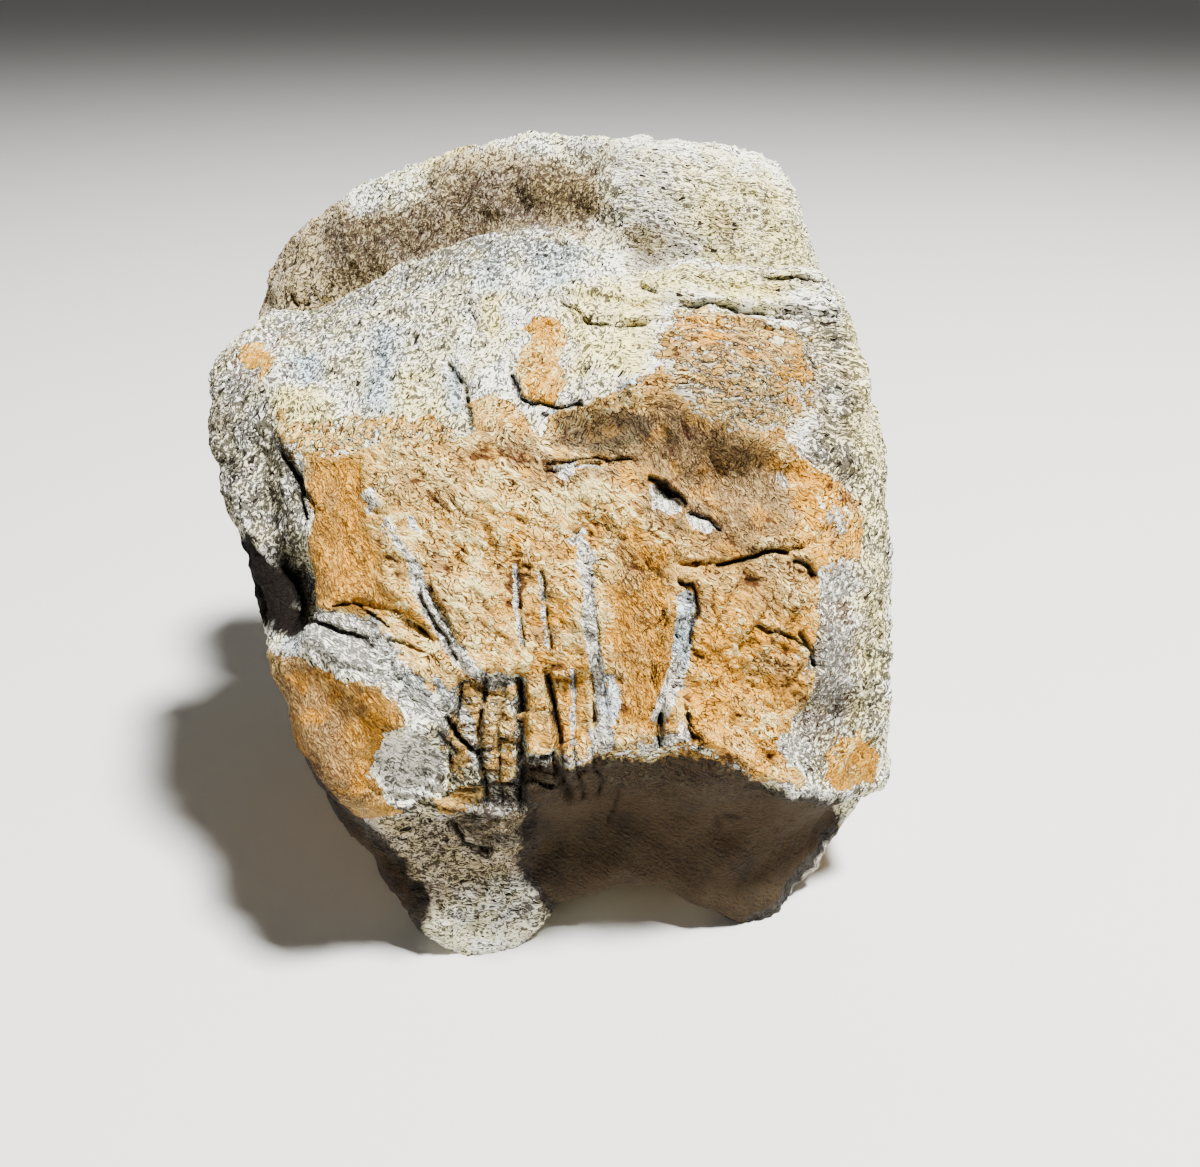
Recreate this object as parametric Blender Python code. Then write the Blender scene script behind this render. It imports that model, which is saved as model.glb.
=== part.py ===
"""Fossil hadrosaur vertebra: a weathered centrum lying on the stumps of its neural arch.

The bone is one piece. It stands upside down, as it was laid: the two broken stumps touch the
surface, the arch between them is the floor of the neural canal, the big cracked face in front
is one joint face of the centrum, and the rim behind the groove belongs to the other one.

Blender 4.5, metres, +Z up, origin under the middle of the bone on the surface it rests on.
X runs to the right across the cracked face, Y runs back along the centrum.
"""
import math
from collections import namedtuple

import bmesh
import bpy
import numpy as np
from mathutils import Vector, noise

MM = 0.001

# Name of the one sub-part and of the collection that holds it.
BONE_NAME = "vertebra"
COLLECTION_NAME = "hadrosaur_vertebra"

# Stations of the loft, in millimetres. Every outline runs clockwise as seen from the front and
# starts at the middle of the neural canal: canal, left stump, left side, top, right side and
# right stump.
FRONT_RIM = (
    (15, -43, 40), (3, -43, 35), (-8, -42, 20), (-17, -44, 23), (-28, -45, 38), (-34.5, -36, 50),
    (-39, -27, 59), (-47, -11, 72), (-49, 5, 79), (-38, 10, 83), (-22, 10, 90), (-4, 11, 96),
    (14, 5, 92), (29, 3, 91), (40.5, 1, 90), (46, -7, 80), (49.5, -15, 66), (51, -21, 47),
    (52, -24, 31), (52, -27, 19), (37, -37, 27), (25, -42, 38),
)
SHOULDER = (
    (15, -34, 8.5), (4, -34, 5), (-3, -36.5, -1), (-13.5, -37, -1), (-24.5, -35, 14), (-34, -30, 33),
    (-40, -20, 50), (-49, -4, 64), (-53, 12, 74), (-42, 17, 82), (-24, 18, 88), (-4, 19, 93),
    (14, 14, 89), (29, 12, 89), (43, 9, 88), (48.7, 2, 79), (52, -5, 64), (53, -11, 46),
    (53, -14, 30), (52, -17, 15), (41, -28, 2), (32, -34, -1),
)
WAIST = (
    (15, 0, 11), (4, 0, 8), (-4.5, 0, -1), (-17, 0, -1), (-26, 2, 10), (-34, 6, 28),
    (-40, 10, 44), (-44, 16, 58), (-46, 22, 68), (-38, 25, 77), (-22, 25, 84), (-4, 26, 90),
    (14, 24, 88), (28, 22, 87), (39, 19, 83), (44, 15, 74), (45, 10, 60), (44, 5, 45),
    (43, 2, 30), (41, 0, 14), (36, 0, -1), (27, 0, -1),
)
REAR_RIM = (
    (15, 33, 11), (4, 33, 8), (-5.5, 33, -1), (-20, 33, -1), (-35, 33, 12), (-45, 34, 30),
    (-51, 36, 48), (-53, 37, 62), (-52.5, 38, 76), (-47.5, 38, 87.5), (-35, 38, 96.5),
    (-21.5, 38, 102), (-3, 38, 105), (18, 38, 105), (33, 37, 102.5), (42, 36, 97.5),
    (46, 35, 84), (48, 34, 64),
    (49, 34, 45), (47, 34, 26), (40, 33, 8), (27, 33, -1),
)
FACE_CENTRE = (5, -25, 62)
FACE_SHARES = (0.0, 0.25, 0.5, 0.72, 0.88)
# The front face leans back; its middle stands proud of the plane through its rim.
FACE_LEAN = math.radians(46)
FACE_SWELL = 7.0
# The smooth hollow over the mouth of the neural canal, behind the lower edge of the face.
BROW_SCOOP = 4.0
REAR_CENTRE = (0, 45, 54)
REAR_EDGE_Y = 47.0
REAR_EDGE_SHARE = 0.9

POINTS_AROUND = 264
RINGS = 150

# Places on the worn front are given square to a line of sight that looks down at this angle:
# across is X, and up is measured in the plane that faces the viewer, both in millimetres.
SIGHT = math.radians(28)
TOWARDS_VIEWER = np.array((0.0, -math.cos(SIGHT), math.sin(SIGHT)))

Swell = namedtuple("Swell", "across up half_width half_height turn height edge")
Ridge = namedtuple("Ridge", "line half_width height")
Crack = namedtuple("Crack", "line half_width depth")
Strata = namedtuple("Strata", "across up half_width half_height turn spacing height")

# Rounded rises and hollows: turn is in degrees anticlockwise, and a higher edge value makes a
# flatter floor with steeper sides.
SWELLS = (
    Swell(27, 64, 11, 8, -12, 3.2, 1.3),      # knob at the upper right of the face
    Swell(8, 57, 9, 4, -16, -2.4, 1.2),       # hollow beside the knob
    Swell(29, 51, 13, 4, -4, -2.6, 1.2),      # hollow under the knob
    Swell(2, 36, 22, 14, 0, -1.5, 1.0),       # broad dish of the middle
    Swell(-34.5, 36, 4.5, 7, 20, -7.0, 1.6),  # bite out of the left side
    Swell(-38, 47, 3, 4, 20, -2.5, 1.4),      # smaller bite above it
    Swell(-40, 54, 3, 3, 0, -1.6, 1.2),
    Swell(38, 42, 6, 5, 10, 1.6, 1.5),        # flaking lumps along the right edge
    Swell(36, 30, 6, 7, -10, 1.2, 1.4),
    Swell(43, 17, 5, 6, 0, -1.6, 1.4),
    Swell(-19, 31, 8, 4, -15, -2.2, 1.6),     # flaked ledge at the left
    Swell(-17.5, 11.8, 6, 5, 10, -1.4, 1.8),  # pale oval scar at the lower left
    Swell(-14, -2, 9, 5, -30, -2.0, 1.4),     # broken front of the left stump
    Swell(-3, -9, 6, 4, 10, 1.8, 1.4),
    Swell(-12, -11, 5, 3, 20, 1.2, 1.4),
    Swell(13, 86, 5, 4, 0, -4.5, 1.2),        # notch in the top edge of the face
    Swell(23, 85, 5, 3, 0, 1.6, 1.2),
    Swell(17.8, 49.2, 2.4, 1.8, -20, -3.0, 2.0),  # open hole below the knob
    Swell(19.5, 35.5, 1.6, 2.2, 10, -2.5, 2.0),   # head of the right-hand crack
    Swell(17.2, 17.0, 2.2, 2.2, 0, -2.6, 2.0),    # holes at the lower edge
    Swell(21.7, 15.6, 1.5, 1.4, 0, -2.0, 2.0),
    Swell(-22, 106, 8, 4, 10, -1.2, 1.3),     # worn crest of the rear rim
    Swell(3, 108, 4, 3, 0, -1.2, 1.5),
    Swell(-12, 99, 16, 5, 8, -1.6, 1.2),
    Swell(26, 100, 10, 6, 0, 1.2, 1.2),
)
RIDGES = (
    Ridge(((-43, 74), (-36, 62), (-32, 54), (-29, 40), (-27, 31)), 5.0, 2.4),  # left arris
    Ridge(((-30, 29), (-25, 26), (-19, 21), (-15, 16)), 3.2, 2.0),             # lower-left arris
    Ridge(((44, 64), (45, 50), (45, 36), (44, 24)), 3.0, 1.2),                 # right arris
)
CRACKS = (
    Crack(((7.1, 43), (6.5, 34), (7.4, 29), (8.5, 23.5), (9.8, 14)), 1.0, 1.8),
    Crack(((20.4, 37), (19.7, 31), (19, 26), (17.5, 21.5), (16.4, 15)), 1.2, 2.2),
    Crack(((-14, 36), (-12, 31), (-10, 27), (-7, 21)), 0.9, 1.6),
    Crack(((20.4, 39.5), (26, 39), (31.6, 41), (36, 41.7), (40.5, 45)), 0.9, 1.6),
    Crack(((1.6, 52), (6, 52.4), (12, 52.7)), 0.9, 1.6),
    Crack(((-31, 56), (-30.5, 48), (-29, 44)), 1.0, 2.2),
    Crack(((-24, 34.5), (-19, 33), (-14.5, 29)), 0.9, 1.8),
    Crack(((26, 2.5), (27, 0.5)), 0.9, 1.6),
)

# Places where the bone has split along its layers: the split edges run along the turn, and every
# layer stands out over the one below it.
STRATA = (
    Strata(24, 76, 24, 6.5, -3, 3.6, 1.5),        # layered top right of the face
    Strata(-20, 70, 22, 9, 22, 5.2, 1.1),         # worn fibres of the upper left
    Strata(-14, -1, 11, 11, -24, 3.8, 1.9),       # broken front of the left stump
    Strata(38, 28, 6, 22, 62, 4.4, 1.4),          # flaking right edge
    Strata(-21, 29, 9, 5, -18, 3.4, 1.6),         # flaked ledge at the left
    Strata(-37, 52, 5, 16, 70, 4.0, 1.1),         # left edge
    Strata(34, 104, 14, 7, -8, 3.6, 1.2),         # right end of the rear rim
)

# The checkered break over the left stump: lines of the joints and the steps between blocks.
BLOCK_COLUMNS = (-11, -6.3, -2.2, 2.3, 6.7, 9.6, 13)
BLOCK_ROWS = (5, 9, 12.6, 15.2, 18, 21.2, 24.5)
BLOCK_STEPS = (0.0, -1.6, -0.4, -2.2, -0.9, 0.5, -1.3, -0.2, -1.9)
JOINT_HALF_WIDTH = 0.8
JOINT_DEPTH = 1.9

# Unevenness of the whole surface: size of the lumps and their height, in millimetres.
LUMPS = ((26.0, 1.3), (11.0, 1.3), (5.5, 0.9))
LUMP_SEED = (3.1, 7.7, 1.9)
# Cracks and layers wander by this much, in waves of this size.
WANDER = 1.3
WANDER_SIZE = 7.0

# Pits on the sides and the back, which the weather has opened: centre, radius and depth.
SIDE_PITS = (
    ((-46, 10, 50), 4.0, 2.2), ((-42, 0, 36), 3.0, 1.8), ((48, 8, 50), 4.5, 2.2),
    ((47, 4, 28), 3.0, 1.6), ((-20, 47, 70), 5.0, 2.0), ((16, 47, 44), 6.0, 1.6),
    ((-8, 47, 30), 4.0, 1.4), ((30, 47, 80), 4.5, 1.8),
)
REAR_DISH = 5.0
REAR_DISH_RADIUS = 34.0

FACES_KEPT = 9400
CONTACT_LEVEL = 0.35

BONE_COLOUR = (0.55, 0.38, 0.19, 1.0)
BONE_ROUGHNESS = 0.85


def spline_at(pts, steps, closed=False):
    """Catmull-Rom curve through pts, read at the given steps (in units of one span)."""
    last = len(pts) - 1
    span = np.floor(steps).astype(int)
    if not closed:
        span = np.clip(span, 0, last - 1)
    t = (steps - span).reshape((-1,) + (1,) * (pts.ndim - 1))

    def pick(offset):
        index = span + offset
        index = index % len(pts) if closed else np.clip(index, 0, last)
        return pts[index]

    before, start, end, after = pick(-1), pick(0), pick(1), pick(2)
    return 0.5 * (2 * start + (end - before) * t
                  + (2 * before - 5 * start + 4 * end - after) * t ** 2
                  + (3 * start - before - 3 * end + after) * t ** 3)


def face_stations(rim):
    """Outlines of the front face, from its middle out to just inside the rim."""
    centre = np.asarray(FACE_CENTRE, dtype=float)
    outward = np.array((0.0, -math.cos(FACE_LEAN), math.sin(FACE_LEAN)))
    upward = np.array((0.0, math.sin(FACE_LEAN), math.cos(FACE_LEAN)))
    reach = rim - centre
    lift = reach @ outward - FACE_SWELL
    flat = reach - (reach @ outward)[:, None] * outward

    def bowl(share):
        a, b = reach[:, 0] * share, reach @ upward * share
        return np.stack((a, b, a * a, a * b, b * b), axis=1)

    fit = np.linalg.lstsq(bowl(1.0), lift, rcond=None)[0]
    rest = lift - bowl(1.0) @ fit
    rows = []
    for share in FACE_SHARES:
        height = FACE_SWELL + bowl(share) @ fit + rest * share ** 5
        rows.append(centre + flat * share + height[:, None] * outward)
    return rows


def stations():
    """The outlines in order from the middle of the front face to the middle of the rear face."""
    front, shoulder, waist, rear = (
        np.asarray(outline, dtype=float) for outline in (FRONT_RIM, SHOULDER, WAIST, REAR_RIM))
    turn = np.linspace(0, 2 * np.pi, len(front), endpoint=False)
    brow = (front + shoulder) / 2
    brow[:, 1] += BROW_SCOOP * np.clip(np.cos(turn), 0, 1) ** 4
    centre = np.asarray(REAR_CENTRE, dtype=float)
    edge = centre + (rear - centre) * REAR_EDGE_SHARE
    edge[:, 1] = REAR_EDGE_Y
    back = [centre + (edge - centre) * share for share in (0.5, 0.0)]
    return face_stations(front) + [front, brow, shoulder, waist, rear, edge] + back


def loft():
    """A grid wrapped round the bone through every station, as one closed mesh in millimetres."""
    around = np.arange(POINTS_AROUND) * len(FRONT_RIM) / POINTS_AROUND
    rows = np.stack([spline_at(row, around, closed=True) for row in stations()])
    surface = spline_at(rows, np.linspace(0, len(rows) - 1, RINGS))
    bm = bmesh.new()
    bmesh.ops.create_grid(bm, x_segments=POINTS_AROUND, y_segments=RINGS - 1, size=1.0)
    for vert in bm.verts:
        column = round((vert.co.x + 1) / 2 * POINTS_AROUND) % POINTS_AROUND
        row = round((vert.co.y + 1) / 2 * (RINGS - 1))
        vert.co = surface[row, column]
    bmesh.ops.remove_doubles(bm, verts=bm.verts, dist=0.01)
    bmesh.ops.recalc_face_normals(bm, faces=bm.faces)
    return bm


def read_shape(bm):
    """Positions and normals of every point, as arrays."""
    bm.normal_update()
    places = np.array([vert.co[:] for vert in bm.verts])
    normals = np.array([vert.normal[:] for vert in bm.verts])
    return places, normals


def write_shape(bm, places):
    for vert, place in zip(bm.verts, places):
        vert.co = place


def smoothstep(values, low, high):
    t = np.clip((values - low) / (high - low), 0.0, 1.0)
    return t * t * (3 - 2 * t)


def seen_plane(places):
    """Across and up of every point, square to the line of sight."""
    up = places[:, 2] * math.cos(SIGHT) + places[:, 1] * math.sin(SIGHT)
    return places[:, 0], up


def distance_to_line(across, up, line):
    """Shortest distance from every point to a broken line."""
    best = np.full(across.shape, np.inf)
    for (ax, ay), (bx, by) in zip(line[:-1], line[1:]):
        dx, dy = bx - ax, by - ay
        t = np.clip(((across - ax) * dx + (up - ay) * dy) / (dx * dx + dy * dy), 0, 1)
        best = np.minimum(best, np.hypot(across - ax - t * dx, up - ay - t * dy))
    return best


def wander(places):
    """Smooth sideways drift of the cracks, as an offset in across and in up for every point."""
    drift = np.array([noise.noise_vector(Vector(p) / WANDER_SIZE)[:2] for p in places])
    return WANDER * drift[:, 0], WANDER * drift[:, 1]


def layered(strata, across, up):
    """Height of one patch of split layers: each layer rises slowly and ends in a sharp step."""
    turn = math.radians(strata.turn)
    dx, dy = across - strata.across, up - strata.up
    along = dx * math.cos(turn) + dy * math.sin(turn)
    over = dy * math.cos(turn) - dx * math.sin(turn)
    inside = np.exp(-((along / strata.half_width) ** 2 + (over / strata.half_height) ** 2) ** 2)
    phase = (over / strata.spacing) % 1.0
    tread = smoothstep(phase, 0.0, 0.22) * (1.0 - 0.8 * phase)
    return strata.height * (tread - 0.4) * inside


def carve_front(bm):
    """Rises, hollows, ridges, layers, cracks and blocks on the side that was looked at."""
    places, normals = read_shape(bm)
    across, up = seen_plane(places)
    drift_across, drift_up = wander(places)
    shown = smoothstep(normals @ TOWARDS_VIEWER, -0.1, 0.25)
    along_normal = np.zeros(len(places))
    for swell in SWELLS:
        turn = math.radians(swell.turn)
        dx, dy = across - swell.across, up - swell.up
        a = (dx * math.cos(turn) + dy * math.sin(turn)) / swell.half_width
        b = (dy * math.cos(turn) - dx * math.sin(turn)) / swell.half_height
        along_normal += swell.height * np.exp(-(a * a + b * b) ** swell.edge)
    for ridge in RIDGES:
        far = distance_to_line(across, up, ridge.line) / ridge.half_width
        along_normal += ridge.height * np.exp(-far ** 2)
    across, up = across + drift_across, up + drift_up
    for strata in STRATA:
        along_normal += layered(strata, across, up)
    inward = np.zeros(len(places))
    for crack in CRACKS:
        far = distance_to_line(across, up, crack.line) / crack.half_width
        inward = np.minimum(inward, -crack.depth * np.clip(1 - far ** 2, 0, 1))
    inward += blocks(across, up)
    places += normals * (along_normal * shown)[:, None]
    places += TOWARDS_VIEWER * (inward * shown)[:, None]
    write_shape(bm, places)


def blocks(across, up):
    """Depth of the checkered break: every block stands at its own height between joints."""
    column = np.searchsorted(BLOCK_COLUMNS, across)
    row = np.searchsorted(BLOCK_ROWS, up)
    steps = np.array(BLOCK_STEPS)
    level = steps[(column * 5 + row * 3) % len(steps)]
    joint = np.full(across.shape, np.inf)
    for line in BLOCK_COLUMNS:
        joint = np.minimum(joint, np.abs(across - line))
    for line in BLOCK_ROWS:
        joint = np.minimum(joint, np.abs(up - line))
    level = level - JOINT_DEPTH * np.clip(1 - joint / JOINT_HALF_WIDTH, 0, 1)
    inside = smoothstep(across, BLOCK_COLUMNS[0] - 1, BLOCK_COLUMNS[0] + 1)
    inside *= 1 - smoothstep(across, BLOCK_COLUMNS[-1] - 1, BLOCK_COLUMNS[-1] + 1)
    inside *= smoothstep(up, BLOCK_ROWS[0] - 1, BLOCK_ROWS[0] + 1)
    inside *= 1 - smoothstep(up, BLOCK_ROWS[-1] - 1, BLOCK_ROWS[-1] + 1)
    return level * inside


def weather_all(bm):
    """Lumps over the whole bone, pits on its sides and the shallow dish of the rear face."""
    places, normals = read_shape(bm)
    height = np.zeros(len(places))
    for size, rise in LUMPS:
        shift = Vector(LUMP_SEED) * size
        height += [rise * noise.noise((Vector(p) + shift) / size) for p in places]
    for centre, radius, depth in SIDE_PITS:
        far = np.linalg.norm(places - np.array(centre), axis=1) / radius
        height -= depth * np.exp(-far ** 4)
    from_middle = np.hypot(places[:, 0] - REAR_CENTRE[0], places[:, 2] - REAR_CENTRE[2])
    back = smoothstep(normals[:, 1], 0.6, 0.9)
    height -= REAR_DISH * back * (1 - smoothstep(from_middle, 0, REAR_DISH_RADIUS))
    places += normals * height[:, None]
    write_shape(bm, places)


def thin_out(bm):
    """Fewer, larger triangles where the bone is smooth, most of them where it is rough."""
    mesh = bpy.data.meshes.new("dense_bone")
    bm.to_mesh(mesh)
    bm.free()
    dense = bpy.data.objects.new("dense_bone", mesh)
    bpy.context.scene.collection.objects.link(dense)
    thinner = dense.modifiers.new("thinner", "DECIMATE")
    thinner.ratio = FACES_KEPT / (2 * len(mesh.polygons))
    view = bpy.context.evaluated_depsgraph_get()
    thinned = bpy.data.meshes.new_from_object(dense.evaluated_get(view))
    bpy.data.objects.remove(dense, do_unlink=True)
    bpy.data.meshes.remove(mesh)
    bm = bmesh.new()
    bm.from_mesh(thinned)
    return bm


def flatten_contacts(bm):
    """Cuts the worn undersides of both stumps in one level plane, which the bone rests on."""
    everything = bm.verts[:] + bm.edges[:] + bm.faces[:]
    cut = bmesh.ops.bisect_plane(bm, geom=everything, plane_co=(0, 0, CONTACT_LEVEL),
                                 plane_no=(0, 0, 1), clear_inner=True)
    rim = [item for item in cut["geom_cut"] if isinstance(item, bmesh.types.BMEdge)]
    bmesh.ops.holes_fill(bm, edges=rim)
    bmesh.ops.translate(bm, verts=bm.verts, vec=(0, 0, -CONTACT_LEVEL))
    bmesh.ops.triangulate(bm, faces=bm.faces)
    bmesh.ops.remove_doubles(bm, verts=bm.verts, dist=0.02)
    bmesh.ops.dissolve_degenerate(bm, edges=bm.edges, dist=0.01)
    bmesh.ops.recalc_face_normals(bm, faces=bm.faces)


def centre_on_origin(bm):
    """Puts the middle of the bone's box over the origin, without lifting the bone."""
    places, _ = read_shape(bm)
    middle = (places.min(axis=0) + places.max(axis=0)) / 2
    bmesh.ops.translate(bm, verts=bm.verts, vec=(-middle[0], -middle[1], 0))


def bone_material():
    material = bpy.data.materials.new("fossil_bone")
    material.use_nodes = True
    shader = material.node_tree.nodes["Principled BSDF"]
    shader.inputs["Base Color"].default_value = BONE_COLOUR
    shader.inputs["Roughness"].default_value = BONE_ROUGHNESS
    shader.inputs["Metallic"].default_value = 0.0
    return material


def main():
    for old in list(bpy.data.objects):
        bpy.data.objects.remove(old, do_unlink=True)
    bm = loft()
    carve_front(bm)
    weather_all(bm)
    bm = thin_out(bm)
    flatten_contacts(bm)
    centre_on_origin(bm)
    bmesh.ops.scale(bm, verts=bm.verts, vec=(MM, MM, MM))
    mesh = bpy.data.meshes.new(BONE_NAME)
    bm.to_mesh(mesh)
    bm.free()
    mesh.materials.append(bone_material())
    bone = bpy.data.objects.new(BONE_NAME, mesh)
    holder = bpy.data.collections.new(COLLECTION_NAME)
    bpy.context.scene.collection.children.link(holder)
    holder.objects.link(bone)


main()
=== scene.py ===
"""Weathered fossil vertebra, lying on the stumps of its neural arch on a pale studio floor.

The bone is one closed piece. Its large form is a loft through outlines in millimetres. The worn
front is then carved with swells, arrises, split layers, joints and cracks, and the whole skin
gets the fine relief of old bone: wrinkles on the brown outer skin, open pores where the skin has
gone, and fibres along the grain. Where each kind of surface lies is kept on the mesh as masks,
which the finish mixes its colours by. Some masks carry painted shade, which darkens hollows,
cracks, joints, creases and shaded sides, and painted highlight on ridges and step edges.
"""
from __future__ import annotations

import logging
import math
from dataclasses import dataclass, field
from enum import Enum

import bmesh
import bpy
import numpy as np
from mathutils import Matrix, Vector, noise

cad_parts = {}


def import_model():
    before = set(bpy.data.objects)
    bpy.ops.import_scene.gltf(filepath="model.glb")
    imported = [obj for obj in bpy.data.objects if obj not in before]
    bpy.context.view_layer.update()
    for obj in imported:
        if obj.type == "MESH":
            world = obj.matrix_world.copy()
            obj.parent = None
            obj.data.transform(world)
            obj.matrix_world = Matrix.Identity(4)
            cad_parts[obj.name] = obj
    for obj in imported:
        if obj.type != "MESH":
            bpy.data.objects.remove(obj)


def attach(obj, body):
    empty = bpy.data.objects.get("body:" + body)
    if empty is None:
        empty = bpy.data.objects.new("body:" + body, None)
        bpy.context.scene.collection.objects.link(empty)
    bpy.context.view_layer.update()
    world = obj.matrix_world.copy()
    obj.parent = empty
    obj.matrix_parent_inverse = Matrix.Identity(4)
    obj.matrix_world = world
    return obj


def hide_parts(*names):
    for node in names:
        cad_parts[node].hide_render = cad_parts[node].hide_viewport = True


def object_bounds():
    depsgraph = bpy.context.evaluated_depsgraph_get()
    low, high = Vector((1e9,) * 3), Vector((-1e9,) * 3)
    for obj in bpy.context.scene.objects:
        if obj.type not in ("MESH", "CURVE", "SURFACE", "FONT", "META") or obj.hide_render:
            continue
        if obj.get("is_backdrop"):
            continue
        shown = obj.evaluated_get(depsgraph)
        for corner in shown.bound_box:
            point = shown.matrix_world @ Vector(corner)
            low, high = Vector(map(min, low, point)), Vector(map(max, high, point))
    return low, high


LOG = logging.getLogger("vertebra")
MM = 0.001
NODE = "vertebra"

# The worn front is drawn square to a line of sight that looks down at this angle.
SIGHT = math.radians(28)
TOWARDS_VIEWER = np.array((0.0, -math.cos(SIGHT), math.sin(SIGHT)))
UP_THE_PICTURE = np.array((0.0, math.sin(SIGHT), math.cos(SIGHT)))
EYE = np.array((8.45, -167.05, 130.0))

# Fibre coordinates are drawn together along the grain for the short patterns.
SHORT_FIBRES = (1.9, 0.8, 0.8)

Span = tuple[float, float]
Outline = tuple[tuple[float, float], ...]
Station = tuple[tuple[float, float, float], ...]


def smoothstep(values: np.ndarray, low: float, high: float) -> np.ndarray:
    """Eases from 0 at low to 1 at high.

    Args:
        values: Numbers to ease.
        low: Value at which the result leaves 0.
        high: Value at which the result reaches 1.

    Returns:
        The eased numbers.
    """
    t = np.clip((values - low) / (high - low), 0.0, 1.0)
    return t * t * (3 - 2 * t)


def lumps(places: np.ndarray, size: float, seed: float = 0.0) -> np.ndarray:
    """Soft random swells, from -1 to 1.

    Args:
        places: Points in millimetres.
        size: Distance over which the swells change.
        seed: Moves the pattern.

    Returns:
        One number for every point.
    """
    moved = places / size + seed
    return np.fromiter(map(noise.noise, moved.tolist()), float, len(moved))


def ridges(places: np.ndarray, size: float, seed: float = 0.0) -> np.ndarray:
    """Sharp crooked ridges with round valleys, from about -1 to 1.

    Args:
        places: Points in millimetres.
        size: Distance between ridges.
        seed: Moves the pattern.

    Returns:
        One number for every point.
    """
    coarse = 1 - 2 * np.abs(lumps(places, size, seed)) ** 0.7
    fine = 1 - 2 * np.abs(lumps(places, size * 0.47, seed + 5.3)) ** 0.8
    return 0.68 * coarse + 0.32 * fine


def terraces(places: np.ndarray, size: float, levels: float,
             seed: float = 0.0) -> tuple[np.ndarray, np.ndarray]:
    """Flat treads that end in short steps, as flaked layers do.

    Args:
        places: Points in millimetres.
        size: Distance over which the layers change.
        levels: Number of steps between the lowest and the highest place.
        seed: Moves the pattern.

    Returns:
        Height from about -0.5 to 0.5, and how near every point is to the foot of a step.
    """
    level = (lumps(places, size, seed) + 0.35 * lumps(places, size * 0.4, seed + 3.7)) * levels
    base = np.floor(level)
    part = level - base
    height = (base + smoothstep(part, 0.0, 0.2) + 0.25 * part) / (2 * levels)
    foot = smoothstep(part, 0.72, 0.98) + (1 - smoothstep(part, 0.0, 0.12))
    return height, np.clip(foot, 0, 1)


def cells(places: np.ndarray, size: float, seed: float = 0.0) -> tuple[np.ndarray, np.ndarray]:
    """Distances to the nearest and the next of many scattered points.

    Args:
        places: Points in millimetres.
        size: Distance between the scattered points.
        seed: Moves the pattern.

    Returns:
        Both distances in units of size, one pair for every point.
    """
    found = np.array([noise.voronoi(p)[0][:2] for p in (places / size + seed).tolist()])
    return found[:, 0], found[:, 1]


@dataclass(frozen=True)
class Grain:
    """Fibres that run one way: angle in the picture in degrees, or along the bone's length."""

    angle: float = 0.0
    length: float = 6.0
    width: float = 1.2
    along_bone: bool = False

    def axes(self) -> np.ndarray:
        """The fibre's direction and the two directions across it, as rows."""
        if self.along_bone:
            return np.array(((0.0, 1.0, 0.0), (1.0, 0.0, 0.0), (0.0, 0.0, 1.0)))
        turn = math.radians(self.angle)
        across = np.array((1.0, 0.0, 0.0))
        along = math.cos(turn) * across + math.sin(turn) * UP_THE_PICTURE
        over = math.cos(turn) * UP_THE_PICTURE - math.sin(turn) * across
        return np.stack((along, over, TOWARDS_VIEWER))

    def stretch(self, places: np.ndarray) -> np.ndarray:
        """Places measured in fibre lengths along the grain and fibre widths across it."""
        return places @ self.axes().T / np.array((self.length, self.width, self.width))


@dataclass(frozen=True)
class Swell:
    """A rounded rise or hollow; a higher edge makes a flatter floor with steeper sides."""

    across: float
    up: float
    half_width: float
    half_height: float
    turn: float
    height: float
    edge: float

    def raise_at(self, across: np.ndarray, up: np.ndarray) -> np.ndarray:
        """Height of the swell at every point."""
        turn = math.radians(self.turn)
        dx, dy = across - self.across, up - self.up
        a = (dx * math.cos(turn) + dy * math.sin(turn)) / self.half_width
        b = (dy * math.cos(turn) - dx * math.sin(turn)) / self.half_height
        return self.height * np.exp(-(a * a + b * b) ** self.edge)


@dataclass(frozen=True)
class Line:
    """A broken line on the front: an arris, a crack or a vein, by its half width and height."""

    points: Outline
    half_width: float
    height: float

    def distance(self, across: np.ndarray, up: np.ndarray) -> np.ndarray:
        """Distance from every point to the line."""
        best = np.full(across.shape, np.inf)
        for (ax, ay), (bx, by) in zip(self.points[:-1], self.points[1:]):
            dx, dy = bx - ax, by - ay
            t = np.clip(((across - ax) * dx + (up - ay) * dy) / (dx * dx + dy * dy), 0, 1)
            best = np.minimum(best, np.hypot(across - ax - t * dx, up - ay - t * dy))
        return best

    def rounded(self, across: np.ndarray, up: np.ndarray) -> np.ndarray:
        """Share of the line's height at every point, with soft shoulders."""
        return np.exp(-(self.distance(across, up) / self.half_width) ** 2)

    def grooved(self, across: np.ndarray, up: np.ndarray) -> np.ndarray:
        """Share of the line's depth at every point, with clean edges."""
        return np.clip(1 - (self.distance(across, up) / self.half_width) ** 2, 0, 1)


@dataclass(frozen=True)
class Strata:
    """A patch of split layers: the split edges run along turn, each stands over the next."""

    across: float
    up: float
    half_width: float
    half_height: float
    turn: float
    spacing: float
    height: float

    def raise_at(self, across: np.ndarray, up: np.ndarray) -> np.ndarray:
        """Height of the layers at every point."""
        turn = math.radians(self.turn)
        dx, dy = across - self.across, up - self.up
        along = dx * math.cos(turn) + dy * math.sin(turn)
        over = dy * math.cos(turn) - dx * math.sin(turn)
        inside = np.exp(-((along / self.half_width) ** 2 + (over / self.half_height) ** 2) ** 2)
        phase = (over / self.spacing) % 1.0
        tread = smoothstep(phase, 0.0, 0.22) * (1.0 - 0.8 * phase)
        return self.height * (tread - 0.4) * inside


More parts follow.
